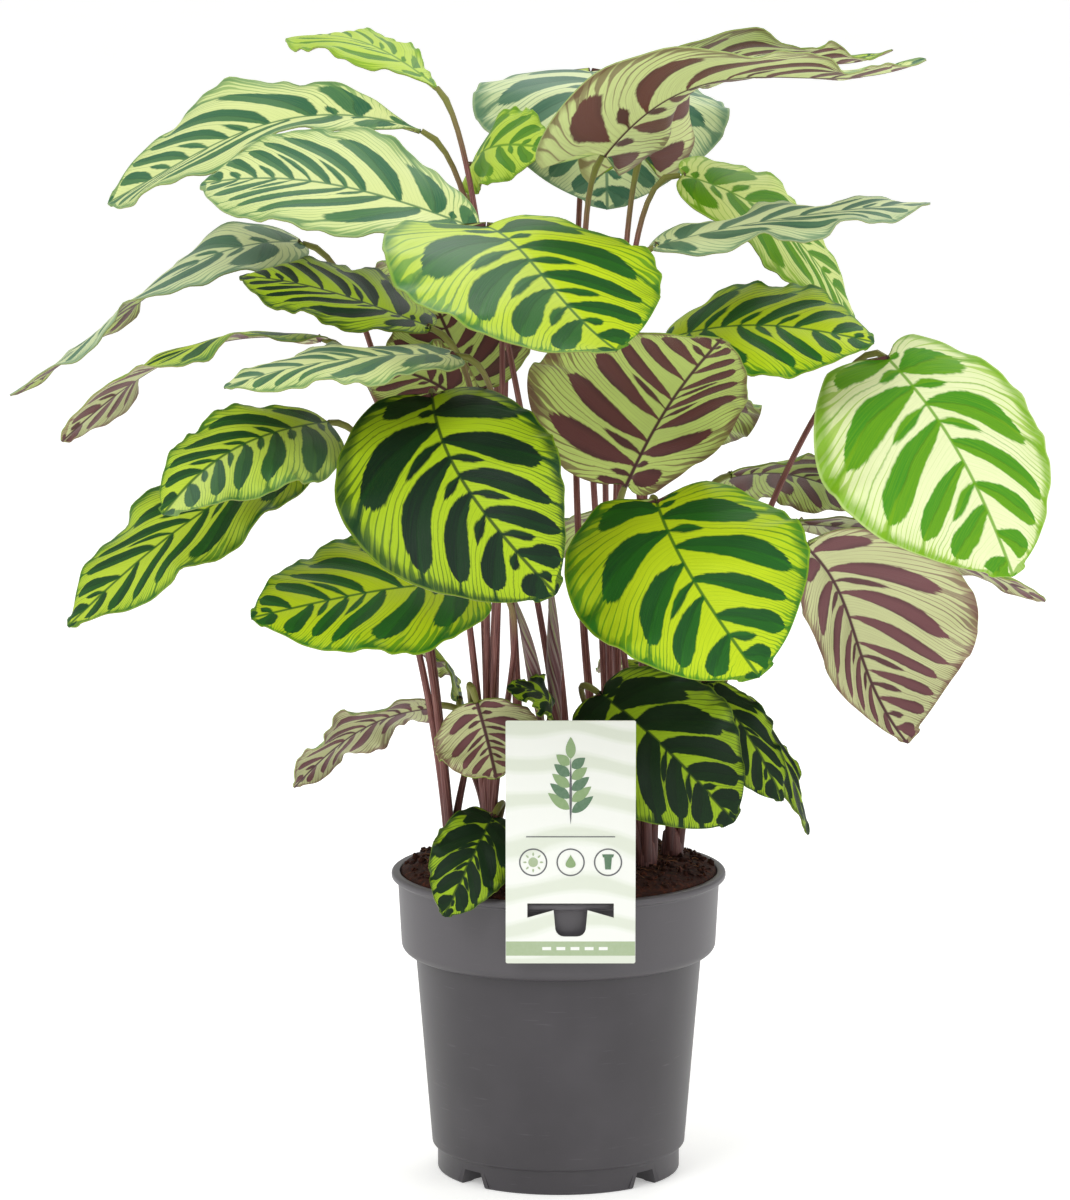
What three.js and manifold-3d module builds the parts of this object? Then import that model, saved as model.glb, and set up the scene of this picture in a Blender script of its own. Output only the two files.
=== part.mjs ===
// Peacock plant in a 17 cm nursery pot with a plain care card clipped over the rim.
// Millimetres, +Z up, origin at the centre of the pot's underside. The front of the plant faces -Y.
import * as THREE from "three";
import { mergeVertices } from "three/addons/utils/BufferGeometryUtils.js";
import Module from "manifold-3d";

const wasm = await Module();
wasm.setup();

// Clearance between pieces that touch on the real plant
const clearance = 0.3;

// Nursery pot: radii and heights of its outside, wall and floor
const pot = {
  height: 155,
  wall: 1.6,
  floor: 2,
  lipRadius: 85,
  lipHeight: 4,
  bandTopRadius: 82,
  bandBottomRadius: 79.4,
  bandBottom: 113,
  bodyTopRadius: 73,
  bodyBottomRadius: 64.4,
  footRadius: 61.8,
  footHeight: 12,
  sides: 40,
};

// Four drainage channels run out under the floor to notches in the foot
const channel = {
  angles: [45, 135, 225, 315],
  width: 14,
  height: 8,
  inner: 16,
  holeRadius: 4,
  holeAt: 38,
};

// Potting soil: heaped to the top of its dome from an edge level with the rim. The dome's steepness
// sets how flat its middle is, and the pocket is the room left for the card's hook.
const soil = {
  top: 162,
  edge: 155.2,
  steepness: 8,
  grain: 1.2,
  rings: 5,
  crowding: 1.6,
  sides: 32,
  pocket: 0.5,
};

// Care card: a stiff sheet with a T-shaped cut, whose tongue hooks over the rim
const card = {
  width: 64,
  top: 247,
  bottom: 125,
  centreX: 5.6,
  thickness: 0.8,
  corner: 3,
  slotWidth: 43,
  wingDrop: 7.5,
  tongueWidth: 17,
  tongueLength: 17,
  hookDrop: 9,
};

// Leaf blades: thickness, midrib, and the grid that each blade is cut into
const blade = {
  thickness: 0.8,
  ribAtBase: 1.5,
  ribAtTip: 0.2,
  tipHalfWidth: 1.2,
  rows: 11,
  rowsOfSmall: 8,
  smallWidth: 62,
  halfColumns: 2,
  handle: 0.36,
};

// Leaf stalks: radii, sides, and steps along each
const stalk = {
  soilRadius: 2.9,
  topRadius: 1.4,
  sheath: 0.28,
  sides: 6,
  steps: 7,
};

// Shoots: each is a short crown in the soil that carries its own leaf stalks
const crown = {
  radius: 6.5,
  depth: 26,
  rise: 14,
  sides: 8,
};

const shoots = {
  a: [-52, -12],
  b: [-34, -26],
  c: [-16, 6],
  d: [8, -14],
  e: [44, -22],
  f: [58, 6],
  g: [26, 28],
  h: [-34, 42],
  i: [42, 48],
};

// One row for each leaf: where the blade starts and ends, the way its upper face looks, its width,
// the bow of its midrib near the base and near the tip, and the bend of its halves. A shoulder of 1 or
// more sets the widest place nearer the tip, and halves scales its left and right sides.
const leaves = [
  { name: "leaf_01", shoot: "c", base: [-62, 60, 548], tip: [-136, 150, 567],
    face: [0, -0.1, 1], width: 62, bow: [12, 14], shoulder: 1.5, halves: [1, 0.8], lobe: 0 },
  { name: "leaf_02", shoot: "c", base: [-70, 50, 527], tip: [-232, 90, 486],
    face: [-0.2, -0.42, 0.85], width: 98, bow: [44, 16], fold: 18, curl: [10, 20], shoulder: 1.7,
    halves: [0.85, 0.94], wave: 4 },
  { name: "leaf_03", shoot: "b", base: [-40, -40, 485], tip: [-179, 0, 504],
    face: [0, -0.5, 0.85], width: 92, bow: [14, 20], fold: 14, curl: [15, 20], shoulder: 1.25,
    reach: 25 },
  { name: "leaf_04", shoot: "d", base: [-36, -55, 488], tip: [27, -150, 438],
    face: [0.05, -0.35, 0.95], width: 178, bow: [18, 0], sway: [4, 8], curl: [28, 0], shoulder: 0.95,
    halves: [0.74, 0.9], lobe: 38, reach: 10, lean: [6, -20] },
  { name: "leaf_05", shoot: "a", base: [-130, 36, 471], tip: [-276, 0, 398],
    face: [-0.5, -0.45, 0.75], width: 78, bow: [40, 0], twist: 30, turns: [0.15, 0.5], wave: 4,
    waves: 3 },
  { name: "leaf_06", shoot: "b", base: [-63, -70, 440], tip: [-158, -40, 462],
    face: [-0.1, -0.25, 0.95], width: 80, bow: [4, 8], shoulder: 1.1, halves: [0.75, 1] },
  { name: "leaf_07", shoot: "a", base: [-118, -30, 430], tip: [-245, -70, 384],
    face: [-0.4, 0.02, 0.9], width: 75, bow: [30, 20], twist: 32, wave: 4, waves: 3 },
  { name: "leaf_08", shoot: "b", base: [-51, -98, 430], tip: [-162, -123, 417],
    face: [0, -0.05, 1], width: 96, bow: [6, 8] },
  { name: "leaf_09", shoot: "a", base: [-113.5, -75, 394], tip: [-190, -150, 359],
    face: [-0.25, -0.65, 0.7], width: 92, bow: [10, 14], sway: [8, 8], curl: [35, 15],
    shoulder: 0.65, halves: [0.86, 0.65], lobe: 0 },
  { name: "leaf_10", shoot: "a", base: [-126, -45, 373], tip: [-241, -92, 295],
    face: [-0.45, -0.55, 0.7], width: 78, halves: [0.85, 1], wave: 4, waves: 3 },
  { name: "leaf_11", shoot: "b", base: [-62, -100, 410], tip: [-2, -186, 326],
    face: [-0.1, -0.8, 0.5], width: 120, bow: [22, 22], sway: [16, 14], curl: [30, 10],
    halves: [0.83, 1], lobe: 15 },
  { name: "leaf_12", shoot: "e", base: [48, -60, 352], tip: [96, -150, 280],
    face: [0, -0.8, 0.5], width: 138, sway: [9, 7], curl: [25, 10], halves: [0.9, 0.86], lobe: 22 },
  { name: "leaf_13", shoot: "f", base: [164, -10, 418], tip: [223, -80, 318],
    face: [0.15, -0.9, 0.35], width: 124, sway: [-6, -6], curl: [30, 12], halves: [0.76, 1.12],
    lobe: 20 },
  { name: "leaf_14", shoot: "e", base: [33, -27, 356], tip: [78, -115, 440],
    face: [0, 0.7, 0.7], width: 120, curl: [30, 10], shoulder: 0.95, halves: [0.6, 1.2], lobe: 14 },
  { name: "leaf_15", shoot: "g", base: [22, -10, 520], tip: [184, 20, 565],
    face: [-0.45, 0.52, 0.78], width: 120, bow: [20, 2], sway: [68, -20], fold: 5, curl: [-10, 10],
    shoulder: 0.42, halves: [0.8, 0.95], lobe: 18, twist: 25, turns: [0.1, 0.55], wave: 4, waves: 3 },
  { name: "leaf_16", shoot: "g", base: [42, 60, 514], tip: [171, 90, 565],
    face: [-0.4, 0.7, 0.65], width: 116, bow: [20, 8], sway: [78, -15], curl: [-10, 10],
    shoulder: 0.42, halves: [0.76, 0.74], lobe: 22, twist: 36, turns: [0.05, 0.5], wave: 4, waves: 3 },
  { name: "leaf_17", shoot: "g", base: [17, 160, 549], tip: [25, 76, 484],
    face: [0.1, -0.5, 0.8], width: 135, bow: [25, 25], lobe: 12, reach: 12, lean: [-30, -10] },
  { name: "leaf_18", shoot: "h", base: [-45, 79, 506], tip: [-5, 44, 518],
    face: [0, -0.75, 0.7], width: 58, reach: 15 },
  { name: "leaf_19", shoot: "g", base: [47, -42, 477], tip: [184, -25, 497],
    face: [0.1, -0.1, 1], width: 70, bow: [6, 4], wave: 4, waves: 3 },
  { name: "leaf_20", shoot: "g", base: [62, 40, 505], tip: [153, 70, 427],
    face: [0.5, -0.4, 0.75], width: 80, bow: [24, 14] },
  { name: "leaf_21", shoot: "f", base: [53, -10, 427], tip: [156, -40, 429],
    face: [0.1, -0.45, 0.85], width: 92 },
  { name: "leaf_22", shoot: "f", base: [125, 0, 322], tip: [181, 60, 209],
    face: [0.35, 0.85, 0.35], width: 108, sway: [8, -18], curl: [50, 0], halves: [0.42, 1.22] },
  { name: "leaf_23", shoot: "f", base: [123, 40, 328], tip: [250, 45, 286],
    face: [0.1, 0.31, 1], width: 70, bow: [14, 8] },
  { name: "leaf_24", shoot: "b", base: [-40, -75, 314], tip: [-150, -115, 303],
    face: [-0.1, -0.5, 0.85], width: 96, bow: [8, 4] },
  { name: "leaf_25", shoot: "a", base: [-65, 14, 237], tip: [-136, 28, 192],
    face: [-0.45, 0.5, 0.75], width: 55, wave: 4 },
  { name: "leaf_26", shoot: "b", base: [-33, -50, 192], tip: [-57, -88, 149],
    face: [0.15, -0.75, 0.6], width: 42, bow: [12, 6] },
  { name: "leaf_27", shoot: "e", base: [20, -40, 253], tip: [87, -70, 193],
    face: [0.1, -0.85, 0.45], width: 82 },
  { name: "leaf_28", shoot: "e", base: [73, -24, 256], tip: [112, -46, 199],
    face: [0.2, -0.8, 0.5], width: 44, halves: [0.65, 1] },
  { name: "leaf_29", shoot: "f", base: [82, 12, 251], tip: [127, -7, 174],
    face: [0.6, -0.2, 0.6], width: 42, halves: [0.6, 1], lobe: 2 },
  { name: "leaf_30", shoot: "b", base: [-48, -42, 401], tip: [-93, -74, 419],
    face: [-0.1, 0.8, 0.5], width: 46 },
  { name: "leaf_31", shoot: "d", base: [-40, -18, 402], tip: [-66, 20, 450],
    face: [-0.2, 1, 0], width: 80 },
  { name: "leaf_32", shoot: "h", base: [-51, 30, 237], tip: [-81, 50, 262],
    face: [-0.3, 0.5, 0.8], width: 50 },
  { name: "leaf_33", shoot: "b", base: [-41, -64, 253], tip: [-31, -77, 216],
    face: [0, 1, 0], width: 54, lobe: 2, lean: [-2, 18] },
  { name: "leaf_34", shoot: "d", base: [-4, -64, 243], tip: [-26, -72, 261],
    face: [0, -0.4, 0.9], width: 30, lean: [12, -10] },
  { name: "leaf_35", shoot: "f", base: [87, 32, 353], tip: [166, 72, 329],
    face: [0.1, 0.5, 0.85], width: 80, halves: [1, 0.75] },
  { name: "leaf_36", shoot: "h", base: [-30, 105, 450], tip: [-60, 228, 420],
    face: [0, 0.3, 1], width: 110 },
  { name: "leaf_37", shoot: "i", base: [48, 90, 395], tip: [58, 220, 335],
    face: [0.1, 0.4, 0.9], width: 110 },
  { name: "leaf_38", shoot: "h", base: [-50, 80, 360], tip: [-80, 200, 300],
    face: [-0.2, 0.6, 0.8], width: 90 },
  { name: "leaf_39", shoot: "i", base: [50, 80, 330], tip: [60, 215, 250],
    face: [0.1, 0.7, 0.7], width: 115 },
  { name: "leaf_40", shoot: "i", base: [50, 60, 250], tip: [60, 175, 205],
    face: [0.1, 0.7, 0.6], width: 70 },
];

// What a leaf row leaves out
const usualLeaf = {
  bow: [14, 10],
  sway: [0, 0],
  fold: 8,
  curl: [22, 22],
  shoulder: 0.85,
  halves: [1, 1],
  wave: 2.5,
  waves: 2.5,
  twist: 0,
  turns: [0.6, 0.85],
  lobe: 8,
  rise: 0.45,
  reach: 40,
  lean: [0, 0],
};

// Young leaves, still rolled: where each stands in the soil, its bend, its tip, and the radii of its
// stalk and of the roll at the top of it
const rolledLeaves = [
  { name: "rolled_leaf_1", root: [0, -32], bend: [-1, -34, 230], tip: [-4, -40, 312], radius: [3.2, 4.2] },
  { name: "rolled_leaf_2", root: [-6, -48], bend: [-4, -48, 250], tip: [-23, -57, 306], radius: [2, 4] },
];

// Where the roll begins, how quickly it swells, and how much its stalk widens towards the soil
const roll = {
  from: 0.55,
  swell: 0.35,
  flare: 0.6,
  tipRadius: 0.7,
  steps: 12,
  sides: 8,
};

// Each leaf's waves start at their own place along its edge
const fullLeaves = leaves.map((leaf, index) => ({ ...usualLeaf, phase: (0.38 * index) % 1, ...leaf }));

const colours = {
  pot: 0x565558,
  soil: 0x3a1c10,
  card: 0xf1f2ea,
  stalk: 0x6b3a34,
  blade: 0x8fb53a,
  rolledLeaf: 0x8a6a6c,
};

function vector(values) {
  return new THREE.Vector3(...values);
}

function radians(degrees) {
  return (degrees * Math.PI) / 180;
}

// A repeatable value between -1 and 1 for a pair of whole numbers
function scatter(a, b) {
  const value = Math.sin(a * 127.1 + b * 311.7) * 43758.5453;
  return 2 * (value - Math.floor(value)) - 1;
}

// A closed geometry as a solid that can be joined and cut
function solidOf(geometry) {
  const bare = geometry.clone();
  bare.deleteAttribute("normal");
  bare.deleteAttribute("uv");
  const merged = mergeVertices(bare, 1e-4);
  return new wasm.Manifold(
    new wasm.Mesh({
      numProp: 3,
      vertProperties: merged.attributes.position.array,
      triVerts: new Uint32Array(merged.index.array),
    }),
  );
}

function geometryOf(solid) {
  const mesh = solid.getMesh();
  const geometry = new THREE.BufferGeometry();
  geometry.setAttribute("position", new THREE.BufferAttribute(mesh.vertProperties, 3));
  geometry.setIndex(new THREE.BufferAttribute(mesh.triVerts, 1));
  geometry.computeVertexNormals();
  return geometry;
}

function geometryFrom(points, triangles) {
  const geometry = new THREE.BufferGeometry();
  const flat = points.flatMap((point) => [point.x, point.y, point.z]);
  geometry.setAttribute("position", new THREE.Float32BufferAttribute(flat, 3));
  geometry.setIndex(triangles);
  geometry.computeVertexNormals();
  return geometry;
}

function lathe(profile, sides) {
  const points = profile.map(([radius, height]) => new THREE.Vector2(radius, height));
  return new THREE.LatheGeometry(points, sides).rotateX(Math.PI / 2);
}

// Pot

function potProfile() {
  const { wall, height, lipHeight } = pot;
  const innerBandTop = pot.bandTopRadius - wall;
  const innerBandBottom = pot.bandBottomRadius - wall;
  return [
    [0, 0],
    [pot.footRadius, 0],
    [pot.footRadius, pot.footHeight],
    [pot.bodyBottomRadius, pot.footHeight + 0.8],
    [pot.bodyTopRadius, pot.bandBottom],
    [pot.bandBottomRadius, pot.bandBottom],
    [pot.bandTopRadius, height - lipHeight],
    [pot.lipRadius - 0.8, height - lipHeight + 0.2],
    [pot.lipRadius, height - lipHeight + 1.2],
    [pot.lipRadius, height - 1],
    [pot.lipRadius - 1, height],
    [innerBandTop + 0.8, height],
    [innerBandTop, height - 1],
    [innerBandTop - 0.2, height - lipHeight],
    [innerBandBottom, pot.bandBottom + wall],
    [pot.bodyTopRadius - wall, pot.bandBottom + wall - 0.4],
    [pot.bodyBottomRadius - wall, pot.footHeight + 1.6],
    [pot.footRadius - wall, pot.footHeight],
    [pot.footRadius - wall, pot.floor],
    [0, pot.floor],
  ];
}

// A block along a channel, grown by a margin on its sides and top
function channelBlock(angle, margin, inner, bottom) {
  const outer = pot.footRadius + 8;
  const top = channel.height + margin;
  const block = new THREE.BoxGeometry(outer - inner, channel.width + 2 * margin, top - bottom);
  block.translate((outer + inner) / 2, 0, (top + bottom) / 2);
  return solidOf(block.rotateZ(radians(angle)));
}

function drainHole(angle) {
  const depth = 3 * channel.height;
  const hole = new THREE.CylinderGeometry(channel.holeRadius, channel.holeRadius, depth, 16);
  return solidOf(hole.rotateX(Math.PI / 2).translate(channel.holeAt, 0, 0).rotateZ(radians(angle)));
}

function makePot() {
  const shell = solidOf(lathe(potProfile(), pot.sides));
  const foot = new THREE.CylinderGeometry(pot.footRadius - 0.4, pot.footRadius - 0.4, 40, pot.sides);
  const insideFoot = solidOf(foot.rotateX(Math.PI / 2));
  let made = shell;
  for (const angle of channel.angles) {
    const cover = channelBlock(angle, pot.wall, channel.inner - pot.wall, 0.5).intersect(insideFoot);
    made = made.add(cover);
  }
  for (const angle of channel.angles) {
    made = made.subtract(channelBlock(angle, 0, channel.inner, -5)).subtract(drainHole(angle));
  }
  return geometryOf(made);
}

// Soil

function soilInnerRadius(height) {
  const { wall, footHeight, bandBottom } = pot;
  const bandTop = pot.height - pot.lipHeight;
  if (height < bandBottom + wall) {
    const share = (height - footHeight) / (bandBottom - footHeight);
    return THREE.MathUtils.lerp(pot.bodyBottomRadius, pot.bodyTopRadius, share) - wall;
  }
  const share = (Math.min(height, bandTop) - bandBottom) / (bandTop - bandBottom);
  return THREE.MathUtils.lerp(pot.bandBottomRadius, pot.bandTopRadius, share) - wall;
}

// Height of the heap at a share of its radius
function soilHeight(share) {
  return THREE.MathUtils.lerp(soil.top, soil.edge, share ** soil.steepness);
}

// The crumbly surface is a grid of rings whose heights are scattered, closest together near the rim
function soilGeometry() {
  const ledge = pot.bandBottom + pot.wall + clearance;
  const bottom = pot.floor + clearance;
  const low = pot.footHeight + 2.4;
  const walls = [
    [pot.footRadius - pot.wall - 0.5, bottom],
    [pot.footRadius - pot.wall - 0.5, low - 1.6],
    [soilInnerRadius(low) - 0.5, low],
    [soilInnerRadius(pot.bandBottom) - 0.5, ledge],
    [soilInnerRadius(ledge) - 0.6, ledge + 0.4],
    [soilInnerRadius(soil.edge) - 0.7, pot.height - pot.lipHeight],
    [soilInnerRadius(soil.edge) - 0.7, soil.edge],
  ];
  const points = [];
  const rings = [];
  const addRing = (radius, heightAt) => {
    rings.push(points.length);
    for (let side = 0; side < soil.sides; side += 1) {
      const angle = (2 * Math.PI * side) / soil.sides;
      points.push(vector([radius * Math.cos(angle), radius * Math.sin(angle), heightAt(side)]));
    }
  };
  walls.forEach(([radius, height]) => addRing(radius, () => height));
  const rim = walls[walls.length - 1][0];
  for (let ring = 1; ring < soil.rings; ring += 1) {
    const share = 1 - (ring / soil.rings) ** soil.crowding;
    addRing(rim * share, (side) => soilHeight(share) + soil.grain * scatter(ring, side));
  }
  const triangles = [];
  for (let ring = 0; ring + 1 < rings.length; ring += 1) {
    for (let side = 0; side < soil.sides; side += 1) {
      const next = (side + 1) % soil.sides;
      const [a, b] = [rings[ring] + side, rings[ring] + next];
      const [c, d] = [rings[ring + 1] + side, rings[ring + 1] + next];
      triangles.push(a, b, d, a, d, c);
    }
  }
  const centreBelow = points.push(vector([0, 0, bottom])) - 1;
  const centreAbove = points.push(vector([0, 0, soil.top])) - 1;
  for (let side = 0; side < soil.sides; side += 1) {
    const next = (side + 1) % soil.sides;
    triangles.push(centreBelow, next, side);
    triangles.push(centreAbove, rings.at(-1) + side, rings.at(-1) + next);
  }
  return geometryFrom(points, triangles);
}

function crownCylinder([x, y], margin) {
  const radius = crown.radius + margin;
  const bottom = soil.top - crown.depth - margin;
  const top = soil.top + crown.rise + (margin ? 20 : 0);
  const cylinder = new THREE.CylinderGeometry(radius, radius, top - bottom, crown.sides);
  return solidOf(cylinder.rotateX(Math.PI / 2).translate(x, y, (top + bottom) / 2));
}

function makeSoil() {
  let made = solidOf(soilGeometry());
  for (const angle of channel.angles) {
    made = made.subtract(channelBlock(angle, pot.wall + clearance, 0, -5));
  }
  const places = [...Object.values(shoots), ...rolledLeaves.map(({ root }) => root)];
  for (const place of places) {
    made = made.subtract(crownCylinder(place, clearance));
  }
  return geometryOf(made.subtract(hookPocket()));
}

// Open pocket in the soil, from the hook's lower end up and out over the rim
function hookPocket() {
  const width = card.tongueWidth + 2 * soil.pocket;
  const back = -(pot.bandTopRadius - pot.wall - 3) + soil.pocket;
  const bottom = pot.height + clearance - card.hookDrop - soil.pocket;
  const depth = pot.lipRadius + back;
  const height = soil.top - bottom;
  const block = new THREE.BoxGeometry(width, depth, height);
  return solidOf(block.translate(card.centreX, back - depth / 2, bottom + height / 2));
}

// Care card

function cardShape() {
  const half = card.width / 2;
  const { corner, top, bottom } = card;
  const outline = new THREE.Shape();
  outline.moveTo(-half + corner, bottom);
  outline.lineTo(half - corner, bottom);
  outline.absarc(half - corner, bottom + corner, corner, -Math.PI / 2, 0);
  outline.lineTo(half, top - corner);
  outline.absarc(half - corner, top - corner, corner, 0, Math.PI / 2);
  outline.lineTo(-half + corner, top);
  outline.absarc(-half + corner, top - corner, corner, Math.PI / 2, Math.PI);
  outline.lineTo(-half, bottom + corner);
  outline.absarc(-half + corner, bottom + corner, corner, Math.PI, 1.5 * Math.PI);
  const slot = pot.height + clearance;
  const tongue = card.tongueWidth / 2;
  const round = tongue;
  const cut = new THREE.Path();
  cut.moveTo(-card.slotWidth / 2, slot);
  cut.lineTo(-card.slotWidth / 2, slot - card.wingDrop);
  cut.lineTo(-tongue, slot - card.wingDrop / 2);
  cut.lineTo(-tongue, slot - card.tongueLength + round);
  cut.absarc(0, slot - card.tongueLength + round, round, Math.PI, 2 * Math.PI);
  cut.lineTo(tongue, slot - card.wingDrop / 2);
  cut.lineTo(card.slotWidth / 2, slot - card.wingDrop);
  cut.lineTo(card.slotWidth / 2, slot);
  outline.holes.push(cut);
  return outline;
}

// The tongue runs back over the rim from the slot, then down inside it
function hookGeometry() {
  const front = -(pot.lipRadius + 0.6 + card.thickness);
  const back = -(pot.bandTopRadius - pot.wall - 3);
  const low = pot.height + clearance;
  const high = low + card.thickness;
  const side = new THREE.Shape([
    new THREE.Vector2(front, low),
    new THREE.Vector2(back - card.thickness, low),
    new THREE.Vector2(back - card.thickness, low - card.hookDrop),
    new THREE.Vector2(back, low - card.hookDrop),
    new THREE.Vector2(back, high),
    new THREE.Vector2(front, high),
  ]);
  const width = card.tongueWidth - 1;
  const strip = new THREE.ExtrudeGeometry(side, { depth: width, bevelEnabled: false });
  strip.translate(0, 0, -width / 2);
  // Shape x is the depth and shape y the height
  const turn = new THREE.Matrix4().makeBasis(vector([0, 1, 0]), vector([0, 0, 1]), vector([1, 0, 0]));
  return strip.applyMatrix4(turn);
}

function makeCard() {
  const sheet = new THREE.ExtrudeGeometry(cardShape(), {
    depth: card.thickness,
    bevelEnabled: false,
    curveSegments: 4,
  });
  sheet.rotateX(Math.PI / 2).translate(0, -(pot.lipRadius + 0.6), 0);
  return geometryOf(solidOf(sheet).add(solidOf(hookGeometry()))).translate(card.centreX, 0, 0);
}

// Leaf blades

// Half the blade's width, as a share of its widest, from base (0) to tip (1)
function bladeOutline(t, shoulder) {
  return Math.sin(Math.PI * t ** shoulder) ** 0.58;
}

// The midrib and the frame that the blade hangs from
function bladeFrame(leaf) {
  const base = vector(leaf.base);
  const tip = vector(leaf.tip);
  const along = tip.clone().sub(base);
  const length = along.length();
  along.normalize();
  const up = vector(leaf.face);
  up.addScaledVector(along, -up.dot(along)).normalize();
  const across = along.clone().cross(up);
  const handle = blade.handle * length;
  const handleAt = (from, direction, bow, sway) =>
    from
      .clone()
      .addScaledVector(along, direction * handle)
      .addScaledVector(up, bow)
      .addScaledVector(across, sway);
  const midrib = new THREE.CubicBezierCurve3(
    base,
    handleAt(base, 1, leaf.bow[0], leaf.sway[0]),
    handleAt(tip, -1, leaf.bow[1], leaf.sway[1]),
    tip,
  );
  return { midrib, up };
}

// A point of the upper face: t runs from base to tip, v from the left edge (-1) to the right (1)
function bladePoint(leaf, frame, t, v) {
  const tangent = frame.midrib.getTangent(t);
  const normal = frame.up.clone().addScaledVector(tangent, -frame.up.dot(tangent)).normalize();
  normal.applyAxisAngle(tangent, radians(leaf.twist) * THREE.MathUtils.smoothstep(t, ...leaf.turns));
  const across = tangent.clone().cross(normal);
  const share = bladeOutline(t, leaf.shoulder);
  const half = leaf.halves[v < 0 ? 0 : 1];
  const halfWidth = Math.max(blade.tipHalfWidth, 0.5 * leaf.width * half * share);
  const reach = Math.abs(v);
  const lobe = leaf.lobe * Math.min(1, 2.2 * share) * reach ** 1.5 * (1 - t) ** 5;
  const side = Math.sign(v);
  const fold = radians(leaf.fold);
  const curl = radians(v < 0 ? leaf.curl[0] : leaf.curl[1]) || 1e-3;
  const outward = (halfWidth / curl) * (Math.sin(fold) - Math.sin(fold - curl * reach));
  const upward = (halfWidth / curl) * (Math.cos(fold - curl * reach) - Math.cos(fold));
  const phase = leaf.phase + (v < 0 ? 0 : 0.37);
  const ripple = leaf.wave * reach ** 2 * Math.sin(Math.PI * t) ** 0.5;
  const wave = ripple * Math.sin(2 * Math.PI * (leaf.waves * t + phase));
  return frame.midrib
    .getPoint(t)
    .addScaledVector(tangent, -lobe)
    .addScaledVector(across, side * outward)
    .addScaledVector(normal, upward + wave);
}

function bladeNormal(leaf, frame, t, v) {
  const step = 0.01;
  const along = bladePoint(leaf, frame, Math.min(1, t + step), v).sub(
    bladePoint(leaf, frame, Math.max(0, t - step), v),
  );
  const across = bladePoint(leaf, frame, t, v + step).sub(bladePoint(leaf, frame, t, v - step));
  return across.cross(along).normalize();
}

function bladeGeometry(leaf) {
  const frame = bladeFrame(leaf);
  const rows = leaf.width < blade.smallWidth ? blade.rowsOfSmall : blade.rows;
  const columns = 2 * blade.halfColumns;
  const across = columns + 1;
  const upper = [];
  const lower = [];
  for (let row = 0; row <= rows; row += 1) {
    const share = row / rows;
    const t = 0.5 * share + 0.25 * (1 - Math.cos(Math.PI * share));
    for (let column = 0; column <= columns; column += 1) {
      const v = (2 * column) / columns - 1;
      const point = bladePoint(leaf, frame, t, v);
      const rib = v === 0 ? THREE.MathUtils.lerp(blade.ribAtBase, blade.ribAtTip, t) : 0;
      const normal = bladeNormal(leaf, frame, t, v);
      upper.push(point);
      lower.push(point.clone().addScaledVector(normal, -(blade.thickness + rib)));
    }
  }
  const under = upper.length;
  const triangles = [];
  const quad = (a, b, c, d) => triangles.push(a, b, c, a, c, d);
  for (let row = 0; row < rows; row += 1) {
    for (let column = 0; column < columns; column += 1) {
      const a = row * across + column;
      const [b, c, d] = [a + 1, a + across + 1, a + across];
      quad(a, b, c, d);
      triangles.push(under + a, under + c, under + b, under + a, under + d, under + c);
    }
    const left = row * across;
    const right = left + columns;
    quad(left, left + across, under + left + across, under + left);
    quad(right, under + right, under + right + across, right + across);
  }
  for (let column = 0; column < columns; column += 1) {
    const last = rows * across + column;
    quad(column, under + column, under + column + 1, column + 1);
    quad(last, last + 1, under + last + 1, under + last);
  }
  return geometryFrom([...upper, ...lower], triangles);
}

// Leaf stalks

function stalkCurve(leaf) {
  const { midrib } = bladeFrame(leaf);
  const start = midrib.getTangent(0);
  const [x, y] = shoots[leaf.shoot];
  const end = vector(leaf.base).addScaledVector(start, -(clearance + 0.1));
  end.z -= blade.thickness * 0.5;
  const root = vector([x, y, soil.top + 2]);
  const distance = root.distanceTo(end);
  const towards = end.clone().sub(root).setZ(0);
  root.addScaledVector(towards.clone().normalize(), crown.radius * 0.45);
  const low = root.clone().addScaledVector(towards, 0.12).add(vector([...leaf.lean, leaf.rise * distance]));
  const high = end.clone().addScaledVector(start, -leaf.reach);
  return new THREE.CubicBezierCurve3(root, low, high, end);
}

function stalkRadius(share) {
  const sheathed = Math.exp(-share / stalk.sheath);
  return THREE.MathUtils.lerp(stalk.topRadius, stalk.soilRadius, sheathed);
}

// A closed round rod along a curve, with its own radius at each step
function rodGeometry(curve, steps, sides, radiusAt) {
  const frames = curve.computeFrenetFrames(steps, false);
  const points = [];
  const triangles = [];
  for (let step = 0; step <= steps; step += 1) {
    const centre = curve.getPointAt(step / steps);
    const radius = radiusAt(step / steps);
    for (let side = 0; side < sides; side += 1) {
      const angle = (2 * Math.PI * side) / sides;
      points.push(
        centre
          .clone()
          .addScaledVector(frames.normals[step], radius * Math.cos(angle))
          .addScaledVector(frames.binormals[step], radius * Math.sin(angle)),
      );
    }
  }
  for (let step = 0; step < steps; step += 1) {
    for (let side = 0; side < sides; side += 1) {
      const next = (side + 1) % sides;
      const [a, b] = [step * sides + side, step * sides + next];
      triangles.push(a, b, b + sides, a, b + sides, a + sides);
    }
  }
  for (let side = 1; side + 1 < sides; side += 1) {
    triangles.push(0, side + 1, side);
    const last = steps * sides;
    triangles.push(last, last + side, last + side + 1);
  }
  return geometryFrom(points, triangles);
}

// One body for a shoot: its crown in the soil with every stalk that grows from it
function makeShoot(key) {
  let made = crownCylinder(shoots[key], 0);
  for (const leaf of fullLeaves.filter(({ shoot }) => shoot === key)) {
    const rod = rodGeometry(stalkCurve(leaf), stalk.steps, stalk.sides, stalkRadius);
    made = made.add(solidOf(rod));
  }
  return geometryOf(made);
}

// Rolled young leaves

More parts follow.
